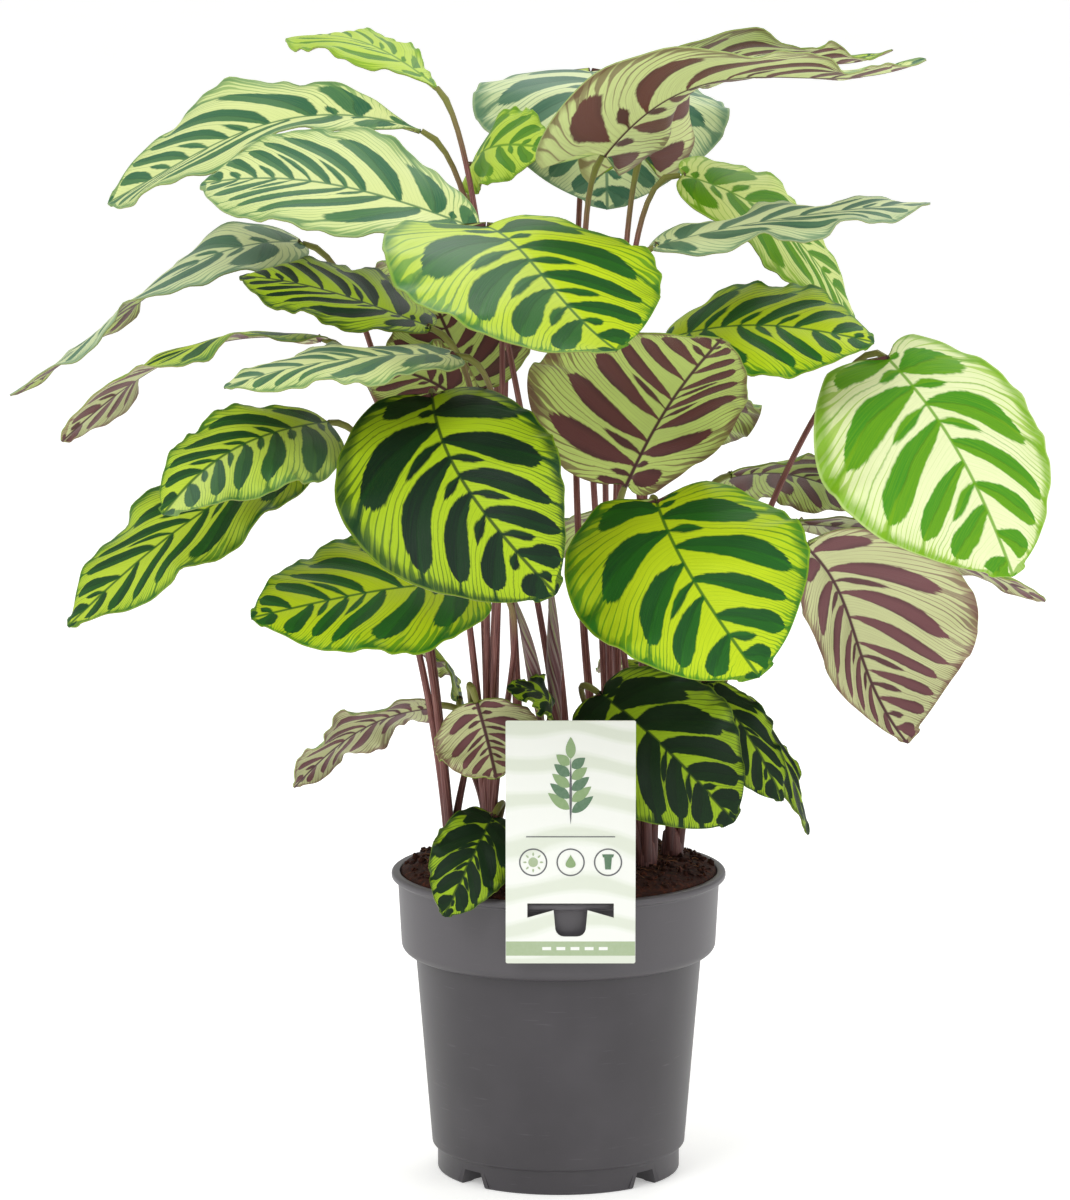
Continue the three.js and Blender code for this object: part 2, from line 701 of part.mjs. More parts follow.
// The stalk thickens into the roll, which narrows to a point
function rolledRadius([thin, thick], share) {
  if (share < roll.from) {
    return THREE.MathUtils.lerp(thin + roll.flare, thin, share / roll.from);
  }
  const along = (share - roll.from) / (1 - roll.from);
  const swell = THREE.MathUtils.smoothstep(along, 0, roll.swell);
  return Math.max(roll.tipRadius, THREE.MathUtils.lerp(thin, thick, swell) * (1 - along ** 3));
}

function makeRolledLeaf(young) {
  const foot = vector([...young.root, soil.top - 4]);
  const curve = new THREE.QuadraticBezierCurve3(foot, vector(young.bend), vector(young.tip));
  const radiusAt = (share) => rolledRadius(young.radius, share);
  const rod = rodGeometry(curve, roll.steps, roll.sides, radiusAt);
  return geometryOf(crownCylinder(young.root, 0).add(solidOf(rod)));
}

// Assembly

const group = new THREE.Group();

function addMesh(name, geometry, colour, roughness) {
  const material = new THREE.MeshStandardMaterial({ color: colour, roughness, metalness: 0 });
  const mesh = new THREE.Mesh(geometry, material);
  mesh.name = name;
  group.add(mesh);
}

addMesh("pot", makePot(), colours.pot, 0.5);
addMesh("soil", makeSoil(), colours.soil, 0.95);
addMesh("care_card", makeCard(), colours.card, 0.6);
for (const key of Object.keys(shoots)) {
  addMesh(`shoot_${key}`, makeShoot(key), colours.stalk, 0.55);
}
for (const young of rolledLeaves) {
  addMesh(young.name, makeRolledLeaf(young), colours.rolledLeaf, 0.5);
}
for (const leaf of fullLeaves) {
  addMesh(leaf.name, bladeGeometry(leaf), colours.blade, 0.4);
}

export default group;
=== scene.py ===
import math

import bmesh
import bpy
import numpy as np
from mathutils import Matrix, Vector, noise


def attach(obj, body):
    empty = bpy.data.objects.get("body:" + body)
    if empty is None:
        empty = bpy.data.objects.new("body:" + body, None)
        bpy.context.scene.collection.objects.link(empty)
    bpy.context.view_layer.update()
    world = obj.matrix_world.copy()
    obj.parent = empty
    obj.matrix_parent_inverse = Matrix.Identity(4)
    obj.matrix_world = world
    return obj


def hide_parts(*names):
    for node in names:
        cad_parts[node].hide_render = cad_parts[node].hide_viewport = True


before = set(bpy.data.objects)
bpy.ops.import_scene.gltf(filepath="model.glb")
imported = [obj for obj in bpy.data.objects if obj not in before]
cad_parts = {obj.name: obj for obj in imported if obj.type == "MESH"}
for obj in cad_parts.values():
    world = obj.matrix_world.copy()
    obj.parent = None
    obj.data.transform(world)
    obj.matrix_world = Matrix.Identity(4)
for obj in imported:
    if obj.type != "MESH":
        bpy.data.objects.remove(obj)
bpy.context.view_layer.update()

mm = 0.001


# Shared helpers

def linearColour(hexText):  # sRGB hex to the linear colour that a shader takes
    channels = [int(hexText[i:i + 2], 16) / 255 for i in (1, 3, 5)]
    return [c / 12.92 if c <= 0.04045 else ((c + 0.055) / 1.055) ** 2.4 for c in channels] + [1.0]


def newSkin(name):  # an empty material, and the function that adds nodes to it
    skin = bpy.data.materials.new(name)
    skin.use_nodes = True
    nodes, links = skin.node_tree.nodes, skin.node_tree.links
    nodes.clear()

    # A kind can have its operation after it. Plain values go to the inputs in order. A name with a capital is
    # an input too (Base_Color is Base Color), and others are settings. A node stands for its first output.
    def add(kind, *values, inputs=None, **named):
        kind, *operation = kind.split()
        node = nodes.new("ShaderNode" + kind)
        if operation:
            node.operation = operation[0]
        inputs = {**dict(enumerate(values)), **(inputs or {})}
        for name, value in named.items():
            if name[0].isupper():
                inputs[name.replace("_", " ")] = value
            else:
                setattr(node, name, value)
        for name, value in inputs.items():
            if isinstance(value, bpy.types.Node):
                value = value.outputs[0]
            if isinstance(value, bpy.types.NodeSocket):
                links.new(value, node.inputs[name])
            else:
                node.inputs[name].default_value = linearColour(value) if isinstance(value, str) else value
        return node

    return skin, add


def layered(add, colour, *layers):  # colours laid one over another; each layer is (share, colour)
    for share, over in layers:
        colour = add("Mix", inputs={0: share, 6: colour, 7: over}, data_type="RGBA").outputs[2]
    return colour


def scaled(add, value, amount):
    return add("Math MULTIPLY", value, amount)


def tintRamp(add, pattern, stops, interpolation="LINEAR"):  # stops are (place, grey) or (place, hex colour)
    node = add("ValToRGB", pattern)
    ramp = node.color_ramp
    ramp.interpolation = interpolation
    ramp.elements.remove(ramp.elements[-1])
    for index, (place, value) in enumerate(stops):
        stop = ramp.elements[0] if index == 0 else ramp.elements.new(place)
        stop.position = place
        stop.color = linearColour(value) if isinstance(value, str) else (value, value, value, 1)
    return node


# The gloss is a pattern with the roughness at its 0 and at its 1, and the relief a pattern with its strength
# and its depth in metres
def closeSkin(add, colour, gloss, relief, **more):
    pattern, low, high = gloss
    height, strength, depth = relief
    shader = add("BsdfPrincipled", Base_Color=colour, Roughness=add("MapRange", pattern, 0, 1, low, high),
                 Normal=add("Bump", Strength=strength, Distance=depth, Height=height), **more)
    add("OutputMaterial", shader)


def linked(made):
    bpy.context.scene.collection.objects.link(made)
    return made


def meshObject(name, points, faces):  # points in millimetres
    mesh = bpy.data.meshes.new(name)
    mesh.from_pydata((np.asarray(points, float) * mm).tolist(), [], faces)
    return linked(bpy.data.objects.new(name, mesh))


def placePiece(piece, skins, nodes, sharp):  # edges are sharp from this angle on, in degrees
    for skin in skins:
        piece.data.materials.append(skin)
    piece.data.shade_smooth()
    piece.data.set_sharp_from_angle(angle=math.radians(sharp))
    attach(piece, "root")
    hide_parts(*nodes)


def addPiece(name, points, faces, skins, nodes, sharp, skinOf=None, attributes=None):
    piece = meshObject(name, points, faces)
    placePiece(piece, skins, nodes, sharp)
    if skinOf is not None:
        piece.data.polygons.foreach_set("material_index", np.asarray(skinOf, np.int32))
    for key, values in (attributes or {}).items():
        values = np.asarray(values, np.float32)
        kind, field = ("FLOAT_VECTOR", "vector") if values.shape[1] == 3 else ("FLOAT_COLOR", "color")
        piece.data.attributes.new(key, kind, "POINT").data.foreach_set(field, values.ravel())
    piece.data.update()


def joinMeshes(parts):  # each part starts with its points, its faces and the number of its skin
    points, faces, skinOf, first = [], [], [], 0
    for part in parts:
        points.append(part[0])
        faces += [tuple(first + index for index in face) for face in part[1]]
        skinOf += [part[2]] * len(part[1])
        first += len(part[0])
    return np.concatenate(points), faces, skinOf


def ringFaces(rings, sides, first=0):  # quads between closed rings of points that follow one another
    quads = []
    for start in range(first, first + (rings - 1) * sides, sides):
        for i in range(sides):
            a, b = start + i, start + (i + 1) % sides
            quads.append((a, b, b + sides, a + sides))
    return quads


def circle(x, y, radius, count):
    turns = [2 * math.pi * i / count for i in range(count)]
    return [(x + radius * math.cos(turn), y + radius * math.sin(turn)) for turn in turns]


def arc(centre, radius, start, end, count=5):  # points of a round corner, angles in degrees
    turns = [math.radians(lerp(start, end, i / (count - 1))) for i in range(count)]
    return [(centre[0] + radius * math.cos(turn), centre[1] + radius * math.sin(turn)) for turn in turns]


def lerp(a, b, share):
    return a + (b - a) * share


def smoothstep(x, low, high):
    share = np.clip((x - low) / (high - low), 0, 1)
    return share * share * (3 - 2 * share)


def unit(vectors):
    return vectors / np.linalg.norm(vectors, axis=-1, keepdims=True)


def bezier(handles, t):  # points of a cubic, for an array of t
    t = np.asarray(t, float)[..., None]
    a, b, c, d = handles
    return a * (1 - t) ** 3 + 3 * b * t * (1 - t) ** 2 + 3 * c * t ** 2 * (1 - t) + d * t ** 3


def bezierTangent(handles, t):
    t = np.asarray(t, float)[..., None]
    a, b, c, d = handles
    return unit(3 * ((b - a) * (1 - t) ** 2 + 2 * (c - b) * t * (1 - t) + (d - c) * t ** 2))


# Camera at the photograph's height and angle, a long lens about three metres off

cameraPlace = {"location": (-0.012, -3.0, 0.775), "lookDown": 9.12, "lens": 180.4, "reach": 60}


def addCamera():
    lens = bpy.data.cameras.new("plantCamera")
    lens.lens, lens.clip_end = cameraPlace["lens"], cameraPlace["reach"]
    camera = linked(bpy.data.objects.new("plantCamera", lens))
    camera.location = cameraPlace["location"]
    camera.rotation_euler = (math.radians(90 - cameraPlace["lookDown"]), 0, 0)
    bpy.context.scene.camera = camera


# Plain pale floor and a white studio round it. The lights are in metres and watts.

studio = {
    "paint": ["#F8F8F7", "#FBFBFA"],
    "floorHalf": 12000,
    "surround": 0.72,
    "floorGlow": 0.33,
    "softLights": [  # place, height that it is aimed at, width, power
        ((-1.5, -2.0, 2.4), 0.35, 1.6, 34),
        ((2.2, -1.4, 1.5), 0.35, 1.4, 12),
        ((0.4, 1.6, 2.2), 0.45, 1.4, 16),
    ],
}


def floorSkin():  # painted studio floor, which reads as clean matt white with a faint roller texture
    skin, add = newSkin("mattStudioPaint")
    place = add("TexCoord").outputs["Object"]
    grain = add("TexNoise", Vector=place, Scale=9, Detail=4)
    low, high = studio["paint"]
    closeSkin(add, tintRamp(add, grain, [(0.3, low), (0.7, high)]), (grain, 0.78, 0.9), (grain, 0.05, 0.0005),
              Emission_Color=high, Emission_Strength=studio["floorGlow"])
    return skin


def addStudio():
    half = studio["floorHalf"]
    corners = [(-half, -half, 0), (half, -half, 0), (half, half, 0), (-half, half, 0)]
    floor = meshObject("studioFloor", corners, [(0, 1, 2, 3)])
    floor.data.materials.append(floorSkin())
    for index, (place, aim, width, watts) in enumerate(studio["softLights"]):
        light = bpy.data.lights.new("softLight%d" % (index + 1), "AREA")
        light.energy, light.size = watts, width
        lamp = linked(bpy.data.objects.new(light.name, light))
        lamp.location = place
        lamp.rotation_euler = (Vector((0, 0, aim)) - Vector(place)).to_track_quat("-Z", "Y").to_euler()
    world = bpy.data.worlds.new("whiteStudio")
    world.use_nodes = True
    background = world.node_tree.nodes["Background"]
    background.inputs["Color"].default_value = (1, 1, 1, 1)
    background.inputs["Strength"].default_value = studio["surround"]
    bpy.context.scene.world = world
    bpy.context.scene.view_settings.view_transform = "Standard"


# Leaf blades. Each follows the curve, bend and outline of its node and adds the quilting, the raised midrib
# and the fine grid that the peacock markings are painted on.

blade = {
    "thickness": 0.8,
    "ribAtBase": 1.5,
    "ribAtTip": 0.2,
    "ribHalfWidth": 1.6,
    "tipHalfWidth": 0.8,
    "roundness": 0.58,  # a smaller value makes the outline squarer
    "dripTip": (0.982, 0.17),  # where the drawn-out tip starts, and its width as a share of the blade's
    "greenTip": (0.94, 0.9),  # where the markings start to fade out, and how far in the margin then reaches
    "handle": 0.36,
    "rows": 72,
    "columns": 36,
    "quilting": 0.45,  # height of the soft pleats between the side veins
    "edgeRipple": 1.0,
    "ripples": [(1.0, 6.5, 3.1, 0.4), (0.6, 11.3, 5.3, 0.7)],  # share, waves, start, shift of the right half
    "veinSweep": (0.24, 0.34),
    "halvings": 30,
    "crowding": 0.7,  # how much closer the veins stand round the base
}

# mist in a leaf is its share of painted sky reflection on the left and right halves of the upper face
usualLeaf = {
    "bow": (14, 10), "sway": (0, 0), "fold": 8, "curl": (22, 22), "wave": 2.5, "waves": 2.5, "twist": 0,
    "turns": (0.6, 0.85), "shoulder": 0.85, "halves": (1, 1), "lobe": 8, "rise": 0.45, "reach": 40,
    "lean": (0, 0), "tone": "lime", "under": "wine", "veins": 5.2, "shift": 0.0, "mist": (0, 0),
    "fill": (0.02, 0), "rim": 0.0,
}
leaves = []


def addLeaf(shoot, base, tip, face, width, **own):  # face is the way that the upper side looks
    index = len(leaves)
    leaves.append({
        **usualLeaf, "name": "leaf_%02d" % (index + 1), "seed": index + 1, "phase": (0.38 * index) % 1,
        "shoot": shoot, "base": base, "tip": tip, "face": face, "width": width, **own})


addLeaf("c", (-62, 60, 548), (-136, 150, 567), (0, -0.1, 1), 62, bow=(12, 14), shoulder=1.5, halves=(1, 0.8),
    lobe=0, tone="fresh", veins=6.5, fill=(-0.1, -0.1))
addLeaf("c", (-70, 50, 527), (-232, 90, 486), (-0.2, -0.42, 0.85), 98, bow=(44, 16), fold=18, curl=(10, 20),
    shoulder=1.7, halves=(0.85, 0.94), wave=4, tone="pale", veins=7, mist=(0.2, 0.1))
addLeaf("b", (-40, -40, 485), (-179, 0, 504), (0, -0.5, 0.85), 92, bow=(14, 20), fold=14, curl=(15, 20),
    shoulder=1.25, reach=25, tone="pale", veins=7.5, mist=(0.15, 0.2))
addLeaf("d", (-36, -55, 488), (27, -150, 438), (0.05, -0.35, 0.95), 178, bow=(18, 0), sway=(4, 8),
    curl=(28, 0), shoulder=0.95, halves=(0.74, 0.9), lobe=38, reach=10, lean=(6, -20), tone="bright",
    mist=(0, 0.2), veins=4.8, shift=0.2)
addLeaf("a", (-130, 36, 471), (-276, 0, 398), (-0.5, -0.45, 0.75), 78, bow=(40, 0), twist=30,
    turns=(0.15, 0.5), wave=4, waves=3, tone="misty", mist=(0.3, 0.3), veins=6.5)
addLeaf("b", (-63, -70, 440), (-158, -40, 462), (-0.1, -0.25, 0.95), 80, bow=(4, 8), shoulder=1.1,
    halves=(0.75, 1), tone="deep", veins=7)
addLeaf("a", (-118, -30, 430), (-245, -70, 384), (-0.4, 0.02, 0.9), 75, bow=(30, 20), twist=32, wave=4,
    waves=3, mist=(0.1, 0.15), under="pink", veins=6.5)
addLeaf("b", (-51, -98, 430), (-162, -123, 417), (0, -0.05, 1), 96, bow=(6, 8), tone="pale", mist=(0.1, 0.35),
    veins=6)
addLeaf("a", (-113.5, -75, 394), (-190, -150, 359), (-0.25, -0.65, 0.7), 92, bow=(10, 14), sway=(8, 8),
    curl=(35, 15), shoulder=0.65, halves=(0.86, 0.65), lobe=0, mist=(0.25, 0), veins=5.5)
addLeaf("a", (-126, -45, 373), (-241, -92, 295), (-0.45, -0.55, 0.7), 78, halves=(0.85, 1), wave=4, waves=3,
    veins=6.5)
addLeaf("b", (-62, -100, 410), (-2, -186, 326), (-0.1, -0.8, 0.5), 120, bow=(22, 22), sway=(16, 14),
    curl=(30, 10), halves=(0.83, 1), lobe=15, tone="deep", shift=0.2, fill=(0.05, 0.02), rim=0.04)
addLeaf("e", (48, -60, 352), (96, -150, 280), (0, -0.8, 0.5), 138, sway=(9, 7), curl=(25, 10),
    halves=(0.9, 0.86), lobe=22, tone="bright", shift=0.1, veins=4.9, fill=(0.01, 0))
addLeaf("f", (164, -10, 418), (223, -80, 318), (0.15, -0.9, 0.35), 124, sway=(-6, -6), curl=(30, 12),
    halves=(0.76, 1.12), lobe=20, tone="young", veins=5, shift=0.3, rim=0.05)
addLeaf("e", (33, -27, 356), (78, -115, 440), (0, 0.7, 0.7), 120, curl=(30, 10), shoulder=0.95,
    halves=(0.6, 1.2), lobe=14, shift=0.4, veins=7.2, fill=(-0.02, 0))
addLeaf("g", (22, -10, 520), (184, 20, 565), (-0.45, 0.52, 0.78), 120, bow=(20, 2), sway=(68, -20), fold=5,
    curl=(-10, 10), shoulder=0.42, halves=(0.8, 0.95), lobe=18, twist=25, turns=(0.1, 0.55), wave=4, waves=3,
    tone="pale", under="paintedBacklight", veins=7.5, shift=0.1, fill=(-0.08, 0.05))
addLeaf("g", (42, 60, 514), (171, 90, 565), (-0.4, 0.7, 0.65), 116, bow=(20, 8), sway=(78, -15),
    curl=(-10, 10), shoulder=0.42, halves=(0.76, 0.74), lobe=22, twist=36, turns=(0.05, 0.5), wave=4, waves=3,
    under="paintedBacklight", veins=7.5, fill=(-0.08, 0.05))
addLeaf("g", (17, 160, 549), (25, 76, 484), (0.1, -0.5, 0.8), 135, bow=(25, 25), lobe=12, reach=12,
    lean=(-30, -10), tone="misty", mist=(0.2, 0.3), veins=6)
addLeaf("h", (-45, 79, 506), (-5, 44, 518), (0, -0.75, 0.7), 58, reach=15, tone="fresh", veins=4)
addLeaf("g", (47, -42, 477), (184, -25, 497), (0.1, -0.1, 1), 70, bow=(6, 4), wave=4, waves=3, tone="misty",
    mist=(0.4, 0.3), veins=6.5)
addLeaf("g", (62, 40, 505), (153, 70, 427), (0.5, -0.4, 0.75), 80, bow=(24, 14), tone="spring", veins=5.5)
addLeaf("f", (53, -10, 427), (156, -40, 429), (0.1, -0.45, 0.85), 92, tone="bright", veins=5.5)
addLeaf("f", (125, 0, 322), (181, 60, 209), (0.35, 0.85, 0.35), 108, sway=(8, -18), curl=(50, 0),
    halves=(0.42, 1.22), tone="pale", under="pink", veins=7.5, fill=(-0.03, -0.03))
addLeaf("f", (123, 40, 328), (250, 45, 286), (0.1, 0.31, 1), 70, bow=(14, 8), under="pink")
addLeaf("b", (-40, -75, 314), (-150, -115, 303), (-0.1, -0.5, 0.85), 96, bow=(8, 4), tone="bright", veins=6)
addLeaf("a", (-65, 14, 237), (-136, 28, 192), (-0.45, 0.5, 0.75), 55, wave=4, tone="pale", under="pink",
    veins=6, fill=(-0.04, -0.04))
addLeaf("b", (-33, -50, 192), (-57, -88, 149), (0.15, -0.75, 0.6), 42, bow=(12, 6), tone="shade", veins=4.6,
    fill=(0.2, 0.12))
addLeaf("e", (20, -40, 253), (87, -70, 193), (0.1, -0.85, 0.45), 82, tone="shade", veins=5.2,
    fill=(0.2, 0.12))
addLeaf("e", (73, -24, 256), (112, -46, 199), (0.2, -0.8, 0.5), 44, halves=(0.65, 1), tone="shade", veins=4.6,
    fill=(0.18, 0.1))
addLeaf("f", (82, 12, 251), (127, -7, 174), (0.6, -0.2, 0.6), 42, halves=(0.6, 1), lobe=2, tone="shade",
    under="olive", veins=4, fill=(0.16, 0.1))
addLeaf("b", (-48, -42, 401), (-93, -74, 419), (-0.1, 0.8, 0.5), 46)
addLeaf("d", (-40, -18, 402), (-66, 20, 450), (-0.2, 1, 0), 80)
addLeaf("h", (-51, 30, 237), (-81, 50, 262), (-0.3, 0.5, 0.8), 50)
addLeaf("b", (-41, -64, 253), (-31, -77, 216), (0, 1, 0), 54, lobe=2, lean=(-2, 18), under="pink", veins=5.2,
    fill=(-0.04, -0.04))
addLeaf("d", (-4, -64, 243), (-26, -72, 261), (0, -0.4, 0.9), 30, lean=(12, -10), tone="shade", veins=3,
    fill=(0.1, 0.1))
addLeaf("f", (87, 32, 353), (166, 72, 329), (0.1, 0.5, 0.85), 80, halves=(1, 0.75))
addLeaf("h", (-30, 105, 450), (-60, 228, 420), (0, 0.3, 1), 110)
addLeaf("i", (48, 90, 395), (58, 220, 335), (0.1, 0.4, 0.9), 110)
addLeaf("h", (-50, 80, 360), (-80, 200, 300), (-0.2, 0.6, 0.8), 90)
addLeaf("i", (50, 80, 330), (60, 215, 250), (0.1, 0.7, 0.7), 115)
addLeaf("i", (50, 60, 250), (60, 175, 205), (0.1, 0.7, 0.6), 70)

# Colours of the upper face, by how old and how shaded a leaf is, and a painted sheen for glossy leaves that
# mirror the sky: band between the markings, markings, margin
upperTones = {
    "bright": ("#C2DA1C", "#1A4E1E", "#2F8414"),
    "lime": ("#B9D236", "#163F1A", "#33781C"),
    "deep": ("#A9C61C", "#0D2215", "#184C16"),
    "pale": ("#DCE798", "#2A6240", "#6C9C4A"),
    "young": ("#EAF2BC", "#44901A", "#93C008"),
    "spring": ("#DAE890", "#478812", "#8ABA14"),
    "fresh": ("#BAD44A", "#4E8626", "#7CA826"),
    # misty: paled bands and blue-grey markings painted as the sky's reflection on a glossy leaf
    "misty": ("#D2DEA6", "#2F5E46", "#64906A"),
    "shade": ("#98B81E", "#0B220E", "#173C12"),
}
underTones = {
    "wine": ("#BACD6C", "#5A2C2A", "#6B5A2C"),
    "pink": ("#D0D59C", "#74464A", "#86664A"),
    # paintedBacklight: paler bands painted on undersides that face down, for light shining through the leaf
    "paintedBacklight": ("#DDE79E", "#6A362E", "#75682E"),
    "olive": ("#B4CB4A", "#4A2A20", "#5A5A24"),
}
# Painted sheen: the pale sky's reflection, painted on the faces that look up and away, bleaches the bands and
# greys the rest
mistTints = {"bandTint": "#DDE6B8", "markTint": "#749880", "marginTint": "#A9C098"}


def bladeOutline(leaf, t):  # half the width as a share of the widest, from base (0) to tip (1)
    start, width = blade["dripTip"]
    broad = np.clip(np.sin(np.pi * np.clip(t / start, 0, 1) ** leaf["shoulder"]), 0, 1) ** blade["roundness"]
    drawn = width * np.clip((1 - t) / (1 - start), 0, 1) ** 0.8 * (t > 0.5)
    return np.maximum(broad, drawn)


def bladeHalf(leaf, v):  # the two halves of a blade may differ in width
    return 0.5 * leaf["width"] * np.where(v < 0, *leaf["halves"])


def bladeFrame(leaf):  # handles of the midrib, and the way that the upper face looks
    base, tip = np.array(leaf["base"], float), np.array(leaf["tip"], float)
    length = np.linalg.norm(tip - base)
    along = (tip - base) / length
    face = np.array(leaf["face"], float)
    up = unit(face - along * face.dot(along))
    across = np.cross(along, up)
    handle = blade["handle"] * length
    low = base + along * handle + up * leaf["bow"][0] + across * leaf["sway"][0]
    high = tip - along * handle + up * leaf["bow"][1] + across * leaf["sway"][1]
    return {"handles": (base, low, high, tip), "up": up, "length": length}


def bladePoints(leaf, shape, t, v):  # upper face: v runs from the left edge (-1) to the right (1)
    tangent = bezierTangent(shape["handles"], t)
    up = shape["up"]
    normal = unit(up - tangent * (tangent @ up)[..., None])
    turn = (math.radians(leaf["twist"]) * smoothstep(t, *leaf["turns"]))[..., None]
    normal = normal * np.cos(turn) + np.cross(tangent, normal) * np.sin(turn)
    across = np.cross(tangent, normal)
    share = bladeOutline(leaf, t)
    halfWidth = np.maximum(blade["tipHalfWidth"], bladeHalf(leaf, v) * share)
    reach = np.abs(v)
    lobe = leaf["lobe"] * np.minimum(1, 2.2 * share) * reach ** 1.5 * (1 - t) ** 5
    fold = math.radians(leaf["fold"])
    curl = np.where(v < 0, *[math.radians(angle) or 1e-3 for angle in leaf["curl"]])
    outward = halfWidth / curl * (np.sin(fold) - np.sin(fold - curl * reach))
    upward = halfWidth / curl * (np.cos(fold - curl * reach) - np.cos(fold))
    phase = leaf["phase"] + np.where(v < 0, 0, 0.37)
    swing = leaf["wave"] * reach ** 2 * np.clip(np.sin(np.pi * t), 0, 1) ** 0.5
    wave = swing * np.sin(2 * np.pi * (leaf["waves"] * t + phase))
    point = bezier(shape["handles"], t) - tangent * lobe[..., None]
    return point + across * (np.sign(v) * outward)[..., None] + normal * (upward + wave)[..., None]


def bladeNormals(leaf, shape, t, v):
    step = 0.01
    along = (bladePoints(leaf, shape, np.minimum(1, t + step), v)
             - bladePoints(leaf, shape, np.maximum(0, t - step), v))
    across = bladePoints(leaf, shape, t, v + step) - bladePoints(leaf, shape, t, v - step)
    return unit(np.cross(across, along))


# Where the side vein through a point leaves the midrib, from base (0) to tip (1), found by halving.
# Veins near the base run straight out, and those near the tip sweep forward.
def veinStart(leaf, t, v):
    out = np.abs(v) * bladeOutline(leaf, t)
    straight, bent = blade["veinSweep"]
    sweep = straight * out + bent * out ** 2
    low, high = np.full_like(t, -0.6), np.full_like(t, 1.0)
    for _ in range(blade["halvings"]):
        middle = (low + high) / 2
        over = middle + 1.15 * smoothstep(middle, -0.15, 0.5) * sweep > t
        low, high = np.where(over, low, middle), np.where(over, middle, high)
    return (low + high) / 2


def veinNumber(leaf, t, v):
    start = veinStart(leaf, t, v)
    crowded = blade["crowding"] * np.exp(-(np.maximum(start, -0.1) + 0.05) / 0.1)
    return start * leaf["veins"] + leaf["shift"] - crowded


def bladeFaces(rows, columns):  # two grids, and the border that joins them and has the upper skin
    width, count = columns + 1, (rows + 1) * (columns + 1)
    grid = np.arange(count).reshape(rows + 1, width)
    corner = grid[:-1, :-1].reshape(-1, 1)
    parts = [corner + (0, 1, width + 1, width), count + corner + (0, width, width + 1, 1)]
    leftAndTip, baseAndRight = np.append(grid[:, 0], grid[-1, 1:]), np.append(grid[0], grid[1:, -1])
    for walk, order in ((leftAndTip, (0, 1, 3, 2)), (baseAndRight, (0, 2, 3, 1))):
        here, there = walk[:-1], walk[1:]
        parts.append(np.stack([here, there, count + here, count + there], axis=1)[:, order])
    return np.concatenate(parts).tolist(), np.repeat([0, 1, 0, 0], [len(part) for part in parts])


def makeLeaf(leaf, faces, skins, skinOf):
    shape = bladeFrame(leaf)
    share = np.linspace(0, 1, blade["rows"] + 1)
    share = 0.5 * share + 0.25 * (1 - np.cos(np.pi * share))  # rows closer together at the base and the tip
    t, v = np.meshgrid(share, np.linspace(-1, 1, blade["columns"] + 1), indexing="ij")
    t, v = t.ravel(), v.ravel()
    reach, right = np.abs(v), v > 0
    vein = veinNumber(leaf, t, v)
    normal = bladeNormals(leaf, shape, t, v)
    pleat = np.cos(2 * np.pi * (vein + 0.5 * right))
    pleat = pleat * np.clip(4 * reach, 0, 1) * np.clip(6 * (1 - reach), 0, 1)  # flat at midrib and edge
    ripple = sum(size * np.sin(2 * np.pi * (waves * t + start * leaf["phase"] + shift * right))
                 for size, waves, start, shift in blade["ripples"]) * reach ** 5
    fade = np.clip(np.sin(np.pi * t), 0, 1) ** 0.7
    height = (blade["quilting"] * pleat + blade["edgeRipple"] * ripple) * fade
    upper = bladePoints(leaf, shape, t, v) + normal * height[:, None]
    across = v * bladeHalf(leaf, v) * bladeOutline(leaf, t)
    rib = lerp(blade["ribAtBase"], blade["ribAtTip"], t) * np.exp(-(across / blade["ribHalfWidth"]) ** 2)
    lower = upper - normal * (blade["thickness"] + rib)[:, None]
    start, spread = blade["greenTip"]
    rim = leaf["rim"] + spread * smoothstep(t, start, 1.0)
    values = {"leafMarkings": (v, vein, t), "leafHabit": (lerp(*leaf["fill"], t), rim, 0 * t),
              "leafPlace": (across, t * shape["length"], 0 * t + 7 * leaf["seed"])}
    attributes = {key: np.tile(np.stack(columns, axis=1), (2, 1)) for key, columns in values.items()}
    # painted sky sheen: each half of the blade gets its own share, varied a little along it
    mist = np.where(v < 0, *leaf["mist"]) * (0.65 + 0.35 * np.sin(7 * t + 3 * v + leaf["seed"]))
    tones = zip(mistTints.items(), upperTones[leaf["tone"]], underTones[leaf["under"]])
    for (key, mistTone), upperTone, underTone in tones:
        tint = lerp(np.array(linearColour(upperTone)), np.array(linearColour(mistTone)), mist[:, None])
        attributes[key] = np.concatenate([tint, np.tile(linearColour(underTone), (len(t), 1))])
    points = np.concatenate([upper, lower])
    name = "leafBlade" + leaf["name"][-2:]
    addPiece(name, points, faces, skins, [leaf["name"]], 70, skinOf, attributes)


